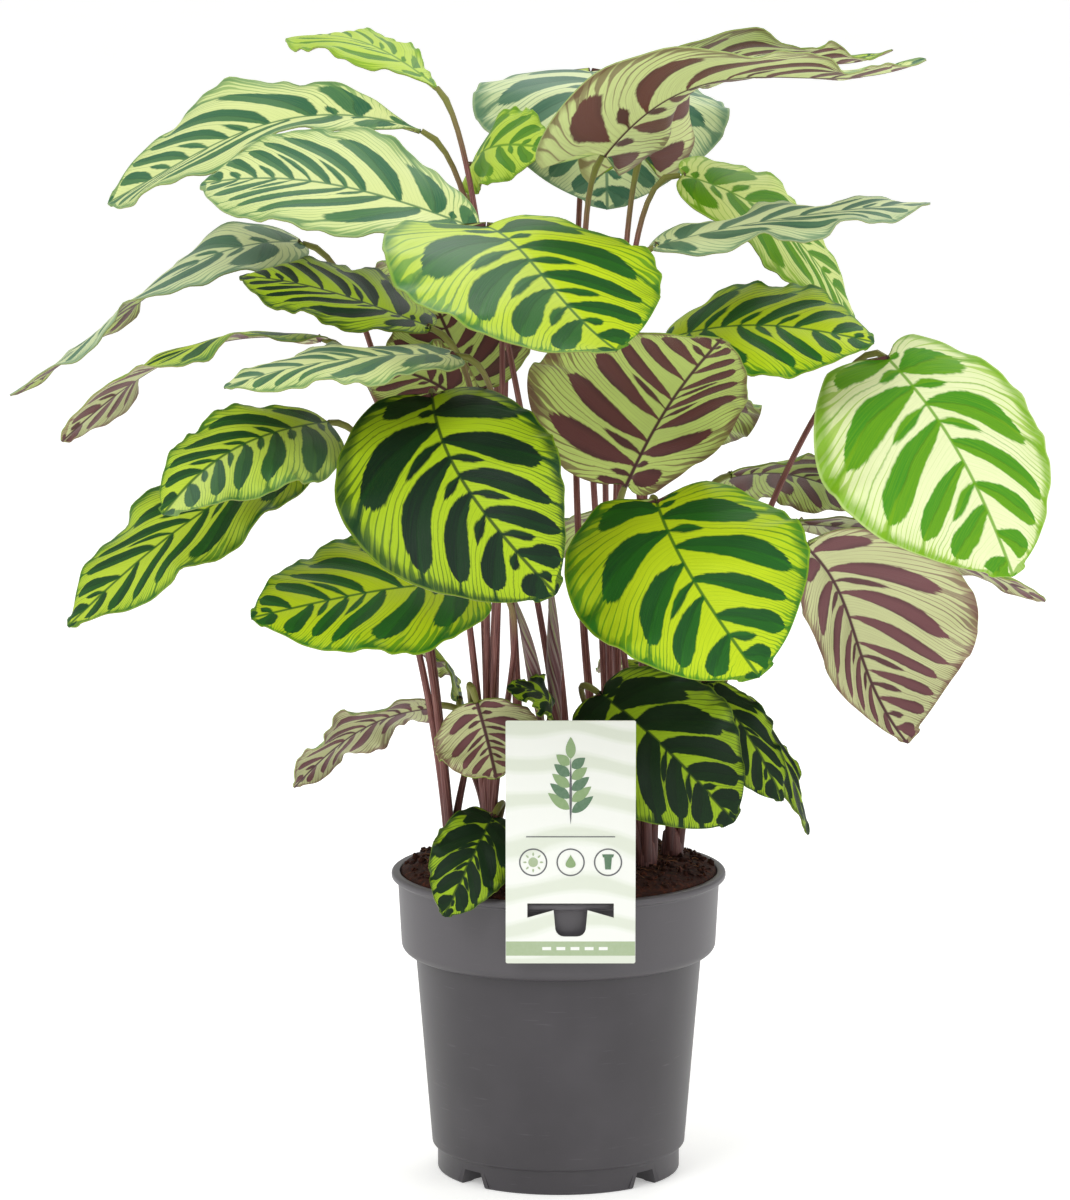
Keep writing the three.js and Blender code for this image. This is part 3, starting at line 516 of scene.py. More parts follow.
# Markings shared by both faces: long blotches along the side veins, a stub between each two, and thin lines
# that thicken into the dark margin. The widths are (share of the way out to the edge, half the width).
markings = {
    "wander": 0.24,
    "slide": 0.16,
    "raggedEnd": 0.1,
    "raggedSide": 0.05,
    "lines": 9.0,  # thin lines from one blotch to the next
    "stubShare": 0.62,
    "blotchStretch": (0.96, 1.14),
    "stubStretch": (0.62, 1.6),
    "lineShift": (-0.22, 0.14),
    "blotch": [(0.0, 0.05), (0.05, 0.10), (0.14, 0.18), (0.3, 0.27), (0.5, 0.32), (0.66, 0.29),
               (0.75, 0.21), (0.81, 0.10), (0.84, 0.0)],
    "stub": [(0.0, 0.03), (0.05, 0.07), (0.12, 0.13), (0.19, 0.12), (0.25, 0.06), (0.29, 0.0)],
    "line": [(0.0, 0.0), (0.34, 0.0), (0.48, 0.04), (0.66, 0.07), (0.8, 0.1), (0.9, 0.18), (0.97, 0.42)],
    "veinLine": [(0.0, 0.0), (0.5, 0.0), (0.7, 0.03), (0.9, 0.05), (1.0, 0.2)],
    "centreLine": [(0.0, 0.012), (0.8, 0.02), (1.0, 0.03)],
    "ribWidth": (0.5, 1.1),
    "margin": (0.89, 0.98),
    "edge": (0.975, 0.99),
}


def attributeParts(add, name):  # the three numbers of a vector that each point of the mesh carries
    return add("SeparateXYZ", add("Attribute", attribute_name=name).outputs["Vector"]).outputs


def peacockMarkings(add):
    acrossRib, _, number = attributeParts(add, "leafPlace")
    v, veinAt, _ = attributeParts(add, "leafMarkings")
    fill, rim, _ = attributeParts(add, "leafHabit")
    reach = add("Math ABSOLUTE", v)
    side = add("Math GREATER_THAN", v, 0)
    vein = add("Math MULTIPLY_ADD", side, 0.5, veinAt)
    seed = add("Math MULTIPLY_ADD", side, 31, add("Math ROUND", number))
    sheet = add("CombineXYZ", reach, vein, seed)

    def grain(stretch, detail):  # noise whose grain runs with the veins
        return add("TexNoise", Vector=add("VectorMath MULTIPLY", sheet, stretch), Scale=1, Detail=detail)

    def wobble(base, amount, stretch, detail):  # base, moved about by the grain
        centred = add("Math ADD", grain(stretch, detail), -0.5)
        return add("Math MULTIPLY_ADD", centred, amount, base)

    def chance(number, layer, dimensions):  # each blotch, stub and line has its own
        place = add("CombineXYZ", number, seed, layer)
        return add("TexWhiteNoise", Vector=place, noise_dimensions=dimensions)

    def mask(distance, reachAt, stops, soft):  # 1 where the distance is inside the width given along the vein
        inside = add("Math SUBTRACT", tintRamp(add, reachAt, stops), distance)
        return add("MapRange", inside, -soft, soft, 0, 1)

    slowVein = wobble(vein, markings["wander"], (2.2, 0.9, 1), 1)
    slowReach = wobble(reach, markings["slide"], (1.5, 1.7, 1.3), 1)
    roughVein = wobble(slowVein, markings["raggedSide"], (24, 5, 1.1), 3)
    roughReach = wobble(slowReach, markings["raggedEnd"], (5, 30, 1.2), 3)
    toStub = add("Math PINGPONG", roughVein, 0.5)
    toBlotch = add("Math SUBTRACT", 0.5, toStub)

    blotchDraw = chance(add("Math FLOOR", slowVein), 0, "2D")
    blotchReach = scaled(add, roughReach, add("MapRange", blotchDraw, 0, 1, *markings["blotchStretch"]))
    blotch = mask(add("Math SUBTRACT", toBlotch, fill), blotchReach, markings["blotch"], 0.02)
    stubDraw = chance(add("Math ROUND", slowVein), 5, "3D")
    stubReach = scaled(add, roughReach, add("MapRange", stubDraw, 0, 1, *markings["stubStretch"]))
    stub = scaled(add, mask(toStub, stubReach, markings["stub"], 0.025),
                  add("Math LESS_THAN", stubDraw, markings["stubShare"]))

    lineVein = scaled(add, wobble(slowVein, 0.05, (3, 3, 1.4), 1), markings["lines"])
    lineDraw = chance(add("Math ROUND", lineVein), 9, "3D")
    lineReach = add("Math ADD", roughReach, add("MapRange", lineDraw, 0, 1, *markings["lineShift"]))
    rimReach = add("Math ADD", roughReach, rim)
    return {
        "marks": add("Math MAXIMUM", blotch, stub),
        "line": mask(add("Math PINGPONG", lineVein, 0.5), lineReach, markings["line"], 0.05),
        "veinLine": mask(toBlotch, reach, markings["veinLine"], 0.02),
        "centreLine": mask(toBlotch, reach, markings["centreLine"], 0.012),
        "rib": add("MapRange", add("Math ABSOLUTE", acrossRib), *markings["ribWidth"], 1, 0),
        # one half of each marking, which the upper face paints lighter as a highlight off the pleat
        "half": add("Math GREATER_THAN", add("Math FRACT", roughVein), 0.5),
        "margin": add("MapRange", rimReach, *markings["margin"], 0, 1),
        "edge": add("MapRange", reach, *markings["edge"], 0, 1),
        "streak": grain((3, 46, 1), 3),
        "toBlotch": toBlotch,
        "roughReach": roughReach,
    }


def leafRelief(add, found):  # fine side veins about 1 mm apart, with a skin of 0.5 mm cells
    place = add("Attribute", attribute_name="leafPlace").outputs["Vector"]
    cells = add("TexVoronoi", Vector=place, Scale=1.6)
    height = add("Math MULTIPLY_ADD", found["streak"], 1, scaled(add, cells, 0.12))
    return add("Math MULTIPLY_ADD", found["veinLine"], -0.25, height), 0.35, 0.0006


def leafTints(add):  # band, markings and margin; on the upper face they carry the painted sky sheen
    return [add("Attribute", attribute_name=key).outputs["Color"] for key in mistTints]


# Living leaf, waxy upper skin over soft tissue: satin rather than wet, with thin veins that catch the light
def upperSkin():
    skin, add = newSkin("waxyPeacockLeaf")
    found = peacockMarkings(add)
    band, mark, margin = leafTints(add)
    darkMargin = layered(add, margin, (0.45, mark))
    # markings: one half of each painted lighter as a highlight off the pleat, with streaks of margin green
    # and a dark centre line
    markColour = layered(
        add, mark, (found["half"], layered(add, mark, (0.22, margin))),
        (add("MapRange", found["streak"], 0.4, 0.7, 0, 0.25), margin),
        (scaled(add, found["centreLine"], 0.6), layered(add, mark, (0.6, "#001000"))))
    colour = layered(
        add, band, (add("MapRange", found["streak"], 0.46, 0.7, 0, 0.12), margin),
        (add("MapRange", found["roughReach"], 0.6, 1, 0, 0.22), margin),
        (scaled(add, found["line"], 0.7), margin),
        (scaled(add, found["margin"], 0.75), darkMargin),
        (found["marks"], markColour),
        (scaled(add, found["veinLine"], 0.8), darkMargin),
        (scaled(add, found["rib"], 0.85), layered(add, mark, (0.35, margin))),
        (scaled(add, found["edge"], 0.6), layered(add, band, (0.5, margin))))
    relief = leafRelief(add, found)
    closeSkin(add, colour, (found["streak"], 0.4, 0.56), relief, IOR=1.42, Specular_IOR_Level=0.27)
    return skin


# The underside is soft and matt, wine red over pale green, with each marking darker round its edge
def underSkin():
    skin, add = newSkin("softWineUnderside")
    found = peacockMarkings(add)
    band, mark, margin = leafTints(add)
    dark = layered(add, mark, (0.5, "#190707"))
    darkEdged = layered(add, mark, (add("MapRange", found["toBlotch"], 0.12, 0.26, 0, 0.75), dark))
    colour = layered(
        add, band, (add("MapRange", found["streak"], 0.44, 0.7, 0, 0.16), mark),
        (scaled(add, found["line"], 0.7), mark),
        (scaled(add, found["margin"], 0.6), margin),
        (found["marks"], darkEdged),
        (scaled(add, found["veinLine"], 0.6), mark),
        (found["rib"], dark))
    closeSkin(add, colour, (found["streak"], 0.5, 0.66), leafRelief(add, found), IOR=1.4, Sheen_Weight=0.1)
    return skin


def makeLeaves():
    skins = [upperSkin(), underSkin()]
    faces, skinOf = bladeFaces(blade["rows"], blade["columns"])
    for leaf in leaves:
        makeLeaf(leaf, faces, skins, skinOf)
    print("leaves:", len(leaves))


# Leaf stalks. A shoot's stalks leave one sheathed crown in the soil, and each ends in a smooth swollen joint
# under its blade.

stalk = {
    "soilRadius": 2.9,
    "topRadius": 1.4,
    "sheath": 0.28,
    "groove": 0.1,
    "joint": 16.0,  # length of the swollen joint
    "jointSwell": 0.35,
    "sides": 14,
    "steps": 44,
    "gap": 0.4,  # room between the stalk and the blade's base
    "outward": 0.12,  # how far a stalk leans out at first, as a share of its way
}
crown = {"radius": 6.5, "depth": 26.0, "rise": 14.0, "topRadius": 4.2, "spread": 0.45, "sheaths": 3,
         "sides": 24, "steps": 14}
soilTop = 162.0
shoots = {
    "a": (-52, -12), "b": (-34, -26), "c": (-16, 6), "d": (8, -14), "e": (44, -22),
    "f": (58, 6), "g": (26, 28), "h": (-34, 42), "i": (42, 48),
}


def stalkHandles(leaf):
    start = bezierTangent(bladeFrame(leaf)["handles"], 0.0)
    end = np.array(leaf["base"], float) - start * stalk["gap"] - np.array([0, 0, stalk["gap"]])
    root = np.array([*shoots[leaf["shoot"]], soilTop + 2.0])
    distance = np.linalg.norm(end - root)
    towards = (end - root) * (1, 1, 0)
    root = root + unit(towards) * crown["radius"] * crown["spread"]
    low = root + towards * stalk["outward"] + np.array([*leaf["lean"], leaf["rise"] * distance])
    return root, low, end - start * leaf["reach"], end


def evenPoints(handles, steps):  # points at equal steps of length along a cubic
    fine = bezier(handles, np.linspace(0, 1, 400))
    gone = np.concatenate([[0], np.cumsum(np.linalg.norm(np.diff(fine, axis=0), axis=1))])
    places = np.linspace(0, gone[-1], steps + 1)
    return np.stack([np.interp(places, gone, fine[:, axis]) for axis in range(3)], axis=1), gone[-1]


def rodMesh(path, radiusAt, sides):  # a closed rod; radiusAt takes the share along it and the angle round it
    path = np.asarray(path, float)
    tangents = unit(np.gradient(path, axis=0))
    helper = np.array([0.0, 1.0, 0.0]) if abs(tangents[0][1]) < 0.9 else np.array([1.0, 0.0, 0.0])
    normal = unit(np.cross(np.cross(tangents[0], helper), tangents[0]))
    angles = np.arange(sides) * 2 * np.pi / sides
    points, last = [], len(path) - 1
    for step, (centre, tangent) in enumerate(zip(path, tangents)):
        normal = unit(normal - tangent * normal.dot(tangent))
        side = np.cross(tangent, normal)
        x, y = np.array([np.cos(angles), np.sin(angles)])[..., None] * radiusAt(step / last, angles)[:, None]
        points.append(centre + x * normal + y * side)
    faces = ringFaces(len(path), sides)
    faces += [tuple(range(sides))[::-1], tuple(range(last * sides, len(path) * sides))]
    share = np.repeat(np.arange(len(path)) / last, sides)
    return np.concatenate(points), faces, share, np.tile(angles, len(path))


# A rod has points, faces, a skin and shader values: its angle, and the ways from the soil and to the blade
def stalkRod(leaf):
    path, length = evenPoints(stalkHandles(leaf), stalk["steps"])

    def radiusAt(share, angles):
        radius = lerp(stalk["topRadius"], stalk["soilRadius"], math.exp(-share / stalk["sheath"]))
        fromJoint = min(1.0, (1 - share) * length / stalk["joint"])
        swell = stalk["jointSwell"] * max(0.0, math.sin(math.pi * fromJoint)) ** 0.5 if fromJoint < 1 else 0.0
        return radius + swell + stalk["groove"] * math.exp(-share * 3) * np.cos(3 * angles)

    points, faces, share, angles = rodMesh(path, radiusAt, stalk["sides"])
    angles = angles + 6.3 * leaf["seed"]
    return points, faces, 0, np.stack([angles, share * length, (1 - share) * length], axis=1)


def crownRod(place, seed, toBlade=300.0):  # overlapping sheaths, folded round each other and split at the top
    low, high = soilTop - crown["depth"], soilTop + crown["rise"]
    path = [(*place, z) for z in np.linspace(low, high, crown["steps"])]

    def radiusAt(share, angles):
        above = max(0.0, (share * (high - low) - crown["depth"] + 3) / (crown["rise"] + 3))
        radius = lerp(crown["radius"] - 0.7, crown["topRadius"], above ** 1.5)
        fold = (angles / (2 * math.pi) * crown["sheaths"] + seed * 0.37 + share) % 1.0
        return radius * (0.9 + 0.18 * fold) * (1 - 0.5 * max(0, share - 0.96) / 0.04)

    points, faces, share, angles = rodMesh(path, radiusAt, crown["sides"])
    return points, faces, 0, np.stack([angles + seed, share * 20, np.full_like(share, toBlade)], axis=1)


def addStalks(name, parts, skin, node, sharp):  # one piece made of rods
    points, faces, _ = joinMeshes(parts)
    attributes = {"stalkPlace": np.concatenate([part[3] for part in parts])}
    addPiece(name, points, faces, [skin], [node], sharp, attributes=attributes)


# Living leaf stalk, smooth rind over tough fibres: wine brown with paler lines along it, olive at the joint
stalkColours = {"fibres": [(0.3, "#3C1B19"), (0.5, "#7C4744"), (0.7, "#B2837A")], "rolled": "#7C4744",
                "joint": "#7C8436", "foot": "#351914"}


def stalkSkin():
    skin, add = newSkin("fibrousLeafStalk")
    turn, fromSoil, toBlade = attributeParts(add, "stalkPlace")
    x, y = [scaled(add, add("Math " + kind, turn), 2.6) for kind in ("COSINE", "SINE")]
    place = add("CombineXYZ", x, y, scaled(add, fromSoil, 0.022))
    fibres = add("TexNoise", Vector=place, Scale=2, Detail=5, Roughness=0.62)
    tint = tintRamp(add, fibres, stalkColours["fibres"])
    colour = layered(
        add, tint, (add("MapRange", fromSoil, 0, 55, 0.75, 0), stalkColours["foot"]),
        (add("MapRange", toBlade, 12, 46, 0.85, 0), stalkColours["joint"]))
    closeSkin(add, colour, (fibres, 0.38, 0.62), (fibres, 0.4, 0.0006), IOR=1.42)
    return skin


def makeShoots():
    skin = stalkSkin()
    for index, (key, place) in enumerate(shoots.items()):
        parts = [crownRod(place, index + 1.0)] + [stalkRod(leaf) for leaf in leaves if leaf["shoot"] == key]
        addStalks("shootStalks" + key.upper(), parts, skin, "shoot_" + key, 50)
    print("shoots:", len(shoots))


# Young leaves, still rolled into a spear round their own midrib

rolledLeaves = [
    {"root": (0, -32), "bend": (-1, -34, 230), "tip": (-4, -40, 312), "radius": (3.2, 4.2)},
    {"root": (-6, -48), "bend": (-4, -48, 250), "tip": (-23, -57, 306), "radius": (2.0, 4.0)},
]
roll = {
    "from": 0.55,  # share of the height where the bare stalk ends
    "swell": 0.35, "flare": 0.6, "tipRadius": 0.7, "overlap": 0.5, "turns": 0.9, "sides": 32, "steps": 70,
}
rollStripes = [(0.32, "#3E2224"), (0.45, "#6B4044"), (0.56, "#8E7A78"), (0.68, "#8A9A5A")]


def rolledSkin():  # rolled blade seen from its wine underside, with the green bands as slanting stripes
    skin, add = newSkin("rolledYoungLeaf")
    turn, fromSoil, share = attributeParts(add, "stalkPlace")
    slant = add("Math MULTIPLY_ADD", turn, 2.2, scaled(add, fromSoil, 0.16))
    place = add("CombineXYZ", slant, scaled(add, fromSoil, 0.02), 0)
    stripes = add("TexNoise", Vector=place, Scale=1.3, Detail=4, Roughness=0.55)
    tint = tintRamp(add, stripes, rollStripes)
    colour = layered(add, tint, (add("MapRange", share, 0.45, 0.62, 1, 0), stalkColours["rolled"]))
    closeSkin(add, colour, (stripes, 0.42, 0.62), (stripes, 0.4, 0.0007), IOR=1.42, Sheen_Weight=0.1)
    return skin


def rolledRod(young):
    foot = np.array([*young["root"], soilTop - 4.0])
    bend, tip = np.array(young["bend"], float), np.array(young["tip"], float)
    handles = (foot, foot + (bend - foot) * 2 / 3, tip + (bend - tip) * 2 / 3, tip)
    path, length = evenPoints(handles, roll["steps"])
    thin, thick = young["radius"]

    def radiusAt(share, angles):
        if share < roll["from"]:
            return lerp(thin + roll["flare"], thin, share / roll["from"]) + 0 * angles
        along = (share - roll["from"]) / (1 - roll["from"])
        swollen = lerp(thin, thick, float(smoothstep(along, 0, roll["swell"]))) * (1 - along ** 3)
        radius = max(roll["tipRadius"], swollen)
        seam = (angles / (2 * np.pi) + roll["turns"] * along) % 1.0
        return radius - roll["overlap"] * min(1.0, 6 * along) * seam * min(1.0, radius / 2)

    points, faces, share, angles = rodMesh(path, radiusAt, roll["sides"])
    return points, faces, 0, np.stack([angles, share * length, share], axis=1)


def makeRolledLeaves():
    skin = rolledSkin()
    for index, young in enumerate(rolledLeaves):
        parts = [crownRod(young["root"], 11.0 + index, 0.0), rolledRod(young)]
        number = index + 1
        addStalks("rolledLeafSpear%d" % number, parts, skin, "rolled_leaf_%d" % number, 60)
    print("rolled leaves:", len(rolledLeaves))


# Nursery pot, one moulding: rolled lip, deep band, tapering body and a foot cut by four drainage channels

pot = {
    "height": 155.0, "wall": 1.6, "floor": 2.0, "lipRadius": 85.0, "lipHeight": 4.0,
    "bandTopRadius": 82.0, "bandBottomRadius": 79.4, "bandBottom": 113.0,
    "bodyTopRadius": 73.0, "bodyBottomRadius": 64.4, "footRadius": 61.8, "footHeight": 12.0,
    "sides": 192,
}
channel = {"angles": (45, 135, 225, 315), "top": 11.0, "bottom": 19.0, "height": 8.0, "inner": 16.0,
           "holeRadius": 4.0, "holeAt": 38.0}
plasticColours = {"body": [(0.3, "#343135"), (0.5, "#3A373B"), (0.72, "#413E42")], "scuff": "#6C696D",
                  "band": "#5B585C"}


def potProfile():  # from the axis out under the floor, up the outside, over the lip and down the inside
    height, wall, lip = pot["height"], pot["wall"], pot["lipRadius"]
    foot, footTop = pot["footRadius"], pot["footHeight"]
    bodyTop, bodyBottom = pot["bodyTopRadius"], pot["bodyBottomRadius"]
    bandTop, band, ledge = pot["bandTopRadius"], pot["bandBottomRadius"], pot["bandBottom"]
    lipFoot = height - pot["lipHeight"]
    return [
        (0, 0.6), (foot - 9, 0.6), (foot - 7, 0),
        *arc((foot - 1.2, 1.2), 1.2, -90, 0), (foot, footTop - 1.0), (foot + 0.6, footTop + 0.2),
        *arc((bodyBottom - 1.6, footTop + 2.6), 1.8, -60, 5),
        (bodyTop - 0.2, ledge - 0.6), (bodyTop + 0.8, ledge),
        *arc((band - 4.6, ledge + 5.2), 5.2, -80, 0, 8),
        (bandTop - 0.3, lipFoot - 1.6), *arc((bandTop + 1.4, lipFoot - 1.6), 1.5, 180, 100),
        *arc((lip - 1.3, lipFoot + 1.5), 1.3, -70, 0), *arc((lip - 1.6, height - 1.6), 1.6, 0, 90),
        *arc((bandTop - wall + 1.2, height - 1.2), 1.2, 90, 180),
        (band - wall, ledge + wall + 1.4), (band - wall - 1, ledge + wall),
        (bodyTop - wall, ledge + wall - 0.4), (bodyBottom - wall, footTop + 1.6),
        (foot - wall, footTop), (foot - wall, pot["floor"]), (0, pot["floor"]),
    ]


def latheMesh(profile, sides):  # a profile of (radius, height) turned round the axis
    points, faces, rings = [], [], []
    for radius, height in profile:
        first = len(points)
        if radius == 0:
            rings.append([first] * sides)
            points.append((0, 0, height))
        else:
            rings.append(list(range(first, first + sides)))
            points += [(x, y, height) for x, y in circle(0, 0, radius, sides)]
    for low, high in zip(rings, rings[1:]):
        for i in range(sides):
            j = (i + 1) % sides
            faces.append(tuple(dict.fromkeys((low[i], low[j], high[j], high[i]))))
    return points, faces


def channelPrisms(name, margin, inner, outer, low):  # tapering tunnels, wider at the floor than at their top
    wide, narrow = channel["bottom"] / 2 + margin, channel["top"] / 2 + margin
    top = channel["height"] + margin
    section = ((-wide, low), (wide, low), (narrow, top), (-narrow, top))
    faces = [(0, 3, 2, 1), (4, 5, 6, 7)] + ringFaces(2, 4)
    parts = []
    for angle in channel["angles"]:
        c, s = math.cos(math.radians(angle)), math.sin(math.radians(angle))
        points = [(reach * c - side * s, reach * s + side * c, height)
                  for reach in (inner, outer) for side, height in section]
        parts.append((points, faces, 0))
    return meshObject(name, *joinMeshes(parts)[:2])


def holePins():  # round cutters for the drain holes
    radius, reach = channel["holeRadius"], channel["holeAt"]
    points, faces = latheMesh([(0, -4), (radius, -4), (radius, 24), (0, 24)], 24)
    turns = [math.radians(angle) for angle in channel["angles"]]
    places = [(reach * math.cos(turn), reach * math.sin(turn), 0) for turn in turns]
    parts = [(np.array(points) + place, faces, 0) for place in places]
    return meshObject("drainHoles", *joinMeshes(parts)[:2])


def applyCuts(target, tools):  # tools are (object, operation), used in order and then removed
    for tool, operation in tools:
        change = target.modifiers.new(operation.lower(), "BOOLEAN")
        change.object, change.operation, change.solver = tool, operation, "EXACT"
    bpy.context.view_layer.update()
    made = bpy.data.meshes.new_from_object(target.evaluated_get(bpy.context.evaluated_depsgraph_get()))
    target.modifiers.clear()
    target.data = made
    made.materials.clear()
    for tool, _ in tools:
        bpy.data.objects.remove(tool)


def potSkin():  # moulded polypropylene: even grey with a fine grained satin skin, paler where it has scuffed
    skin, add = newSkin("mouldedPolypropylene")
    place = add("TexCoord").outputs["Object"]
    cloud = add("TexNoise", Vector=place, Scale=22, Detail=3)
    tint = tintRamp(add, cloud, plasticColours["body"])
    grain = add("TexNoise", Vector=place, Scale=1400, Detail=2)  # 0.7 mm mould grain
    stretched = add("VectorMath MULTIPLY", place, (60, 60, 700))
    scuffs = add("TexNoise", Vector=stretched, Scale=1, Detail=2)
    height = add("SeparateXYZ", place).outputs["Z"]
    colour = layered(
        add, tint, (add("MapRange", scuffs, 0.66, 0.8, 0, 0.25), plasticColours["scuff"]),
        (add("MapRange", height, 0.112, 0.118, 0, 0.55), plasticColours["band"]))  # paler from the band's foot up
    closeSkin(add, colour, (cloud, 0.36, 0.5), (grain, 0.12, 0.0002), IOR=1.49)
    return skin


def makePot():
    shell = meshObject("nurseryPot", *latheMesh(potProfile(), pot["sides"]))
    wall, inner, foot = pot["wall"], channel["inner"], pot["footRadius"]
    covers = channelPrisms("channelCovers", wall, inner - wall, foot - 0.5, 1.0)
    tunnels = channelPrisms("channelTunnels", 0.0, inner, foot + 8, -3.0)
    applyCuts(shell, [(covers, "UNION"), (tunnels, "DIFFERENCE"), (holePins(), "DIFFERENCE")])
    placePiece(shell, [potSkin()], ["pot"], 32)
    print("pot: faces", len(shell.data.polygons))


# Potting soil: a dark peat surface of crumbs and coir threads, heaped a little over the rim of the pot

soil = {
    "edge": 155.2,
    "steepness": 8,
    "grain": 1.2,
    "lumps": [(14.0, 0.9), (5.5, 0.7), (2.2, 0.45)],  # width of the unevenness, and its share
    "rings": 70,
    "sides": 220,
    "crumbs": 1500,
    "threads": 260,
    "threadSteps": 5,
    "threadRadius": 0.2,
    "seed": 5,
}
soilColours = {"peat": [(0.3, "#190A06"), (0.52, "#34170D"), (0.72, "#5E2F1B")], "fleck": "#8A5A34",
               "thread": [(0.35, "#4A2A18"), (0.65, "#8A5A34")]}


def soilSkin():  # moist peat: rough and nearly black in its hollows, with warmer dry crumbs and pale fibre
    skin, add = newSkin("moistPeat")
    place = add("TexCoord").outputs["Object"]
    clumps = add("TexNoise", Vector=place, Scale=260, Detail=6, Roughness=0.7)  # 4 mm clumps
    tint = tintRamp(add, clumps, soilColours["peat"])
    flecks = add("TexVoronoi", Vector=place, Scale=420)
    colour = layered(add, tint, (add("MapRange", flecks, 0.1, 0.16, 0.5, 0), soilColours["fleck"]))
    closeSkin(add, colour, (clumps, 0.8, 0.98), (clumps, 0.8, 0.0012), IOR=1.35)
    return skin


def threadSkin():  # dry coir fibre, pale straw brown and matt
    skin, add = newSkin("coirFibre")
    cloud = add("TexNoise", Vector=add("TexCoord").outputs["Object"], Scale=300, Detail=3)
    closeSkin(add, tintRamp(add, cloud, soilColours["thread"]), (cloud, 0.7, 0.9), (cloud, 0.3, 0.0003))
    return skin


def soilHeight(x, y):
    if abs(x - card["centreX"]) < card["hookRoom"] and y < card["hookBack"]:
        return pot["height"] - card["hookDrop"] - 0.4
    height = 0.0
    for scale, amount in soil["lumps"]:
        height += amount * noise.noise((x / scale, y / scale, scale))
    share = math.hypot(x, y) / (pot["bandTopRadius"] - pot["wall"])
    heap = lerp(soilTop, soil["edge"], share ** soil["steepness"])
    return heap + soil["grain"] * height * (1 - 0.7 * share ** 8)


def soilBody(rim):  # the pot's inside with a little room, closed by rings of uneven ground
    wall, foot, footTop, ledge = pot["wall"], pot["footRadius"], pot["footHeight"], pot["bandBottom"]
    bottom = channel["height"] + wall + 0.6  # it lies on the covers of the drainage channels
    inner = [
        (0, bottom), (foot - wall - 0.5, bottom), (foot - wall - 0.5, footTop + 0.8),
        (pot["bodyBottomRadius"] - wall - 0.4, footTop + 2.4),
        (pot["bodyTopRadius"] - wall - 0.5, ledge + 1.9), (pot["bandBottomRadius"] - wall - 0.6, ledge + 2.3),
        (rim, pot["height"] - pot["lipHeight"]), (rim, soil["edge"] - 0.6),
    ]
    sides, rings = soil["sides"], soil["rings"]
    points, faces = latheMesh(inner, sides)
    lastRing = len(points) - sides
    for step in range(1, rings):
        radius = rim * (1 - (step / rings) ** 1.25)
        points += [(x, y, soilHeight(x, y)) for x, y in circle(0, 0, radius, sides)]
    middle = len(points)
    points.append((0, 0, soilHeight(0, 0)))
    faces += ringFaces(rings, sides, lastRing)
    faces += [(middle - sides + i, middle - sides + (i + 1) % sides, middle) for i in range(sides)]
    return points, faces, 0


def somewhere(draw, reach):  # an even spread over a disc
    radius, angle = reach * math.sqrt(draw.random()), 2 * math.pi * draw.random()
    return radius * math.cos(angle), radius * math.sin(angle)


def makeSoil():
    rim = pot["bandTopRadius"] - pot["wall"] - 0.4
    parts = [soilBody(rim)]
    draw = np.random.default_rng(soil["seed"])
    lump = bmesh.new()
    bmesh.ops.create_icosphere(lump, subdivisions=1, radius=1.0)
    lumpPoints = np.array([vertex.co for vertex in lump.verts])
    lumpFaces = [tuple(vertex.index for vertex in face.verts) for face in lump.faces]
    lump.free()
    for _ in range(soil["crumbs"]):
        x, y = somewhere(draw, rim - 2)
        size = 0.6 + 1.7 * draw.random() ** 3
        crumb = lumpPoints * draw.uniform(0.6, 1.25, (len(lumpPoints), 1)) * draw.uniform(0.6, 1.2, 3) * size
        parts.append((crumb + (x, y, soilHeight(x, y) + 0.3 * size), lumpFaces, 0))
    steps = soil["threadSteps"]
    for _ in range(soil["threads"]):
        x, y = somewhere(draw, rim - 8)
        heading, bend, length = 2 * math.pi * draw.random(), draw.uniform(-1.2, 1.2), draw.uniform(3, 9)
        path = []
        for step in range(steps + 1):
            path.append((x, y, soilHeight(x, y) + 0.7 + 0.6 * math.sin(math.pi * step / steps)))
            x += length / steps * math.cos(heading)
            y += length / steps * math.sin(heading)
            heading += bend / steps
        rod = rodMesh(path, lambda share, angles: soil["threadRadius"] * (1 - 0.5 * share) + 0 * angles, 5)
        parts.append((rod[0], rod[1], 1))
    points, faces, skinOf = joinMeshes(parts)
    addPiece("pottingSoil", points, faces, [soilSkin(), threadSkin()], ["soil"], 60, skinOf)
    print("soil: crumbs", soil["crumbs"], "threads", soil["threads"])


# Care card: a stiff printed sheet hung over the rim by a tongue folded out of its T-shaped cut.
# The print is a plain design of its own: a sprig, a row of care signs and a sage band.

card = {
    "width": 64.0, "top": 247.0, "bottom": 125.0, "centreX": 5.6, "thickness": 0.8, "corner": 0.8,
    "slotWidth": 43.0, "wingDrop": 7.5, "tongueWidth": 17.0, "tongueLength": 17.0, "tongueCorner": 4.5,
    "hookDrop": 9.0, "front": -86.4, "slotTop": 155.3, "bevel": 0.12, "inkDepth": 0.02, "inkStep": 0.004,
    "hookRoom": 9.2, "hookBack": -76.6,  # half the width and the end of the hollow for the hook in the soil
}
cardWash = [(0.35, "#E9EBE5"), (0.62, "#E2E6DC"), (0.9, "#D6DCCD")]
inks = {"sage": "#9DB088", "leaf": "#7C9A62", "deep": "#3F6A45", "grey": "#45474C", "paper": "#E9EBE5"}
bareInk = "#E7E7E5"  # where the ink lies thin
signs = {"height": 176.0, "places": (-18.5, 0.0, 18.5), "ring": (7.0, 6.3)}
sprig = {"foot": 201.0, "step": 5.6, "pairs": 5, "leaf": 13.5, "shrink": 1.3, "leafWidth": 5.2}


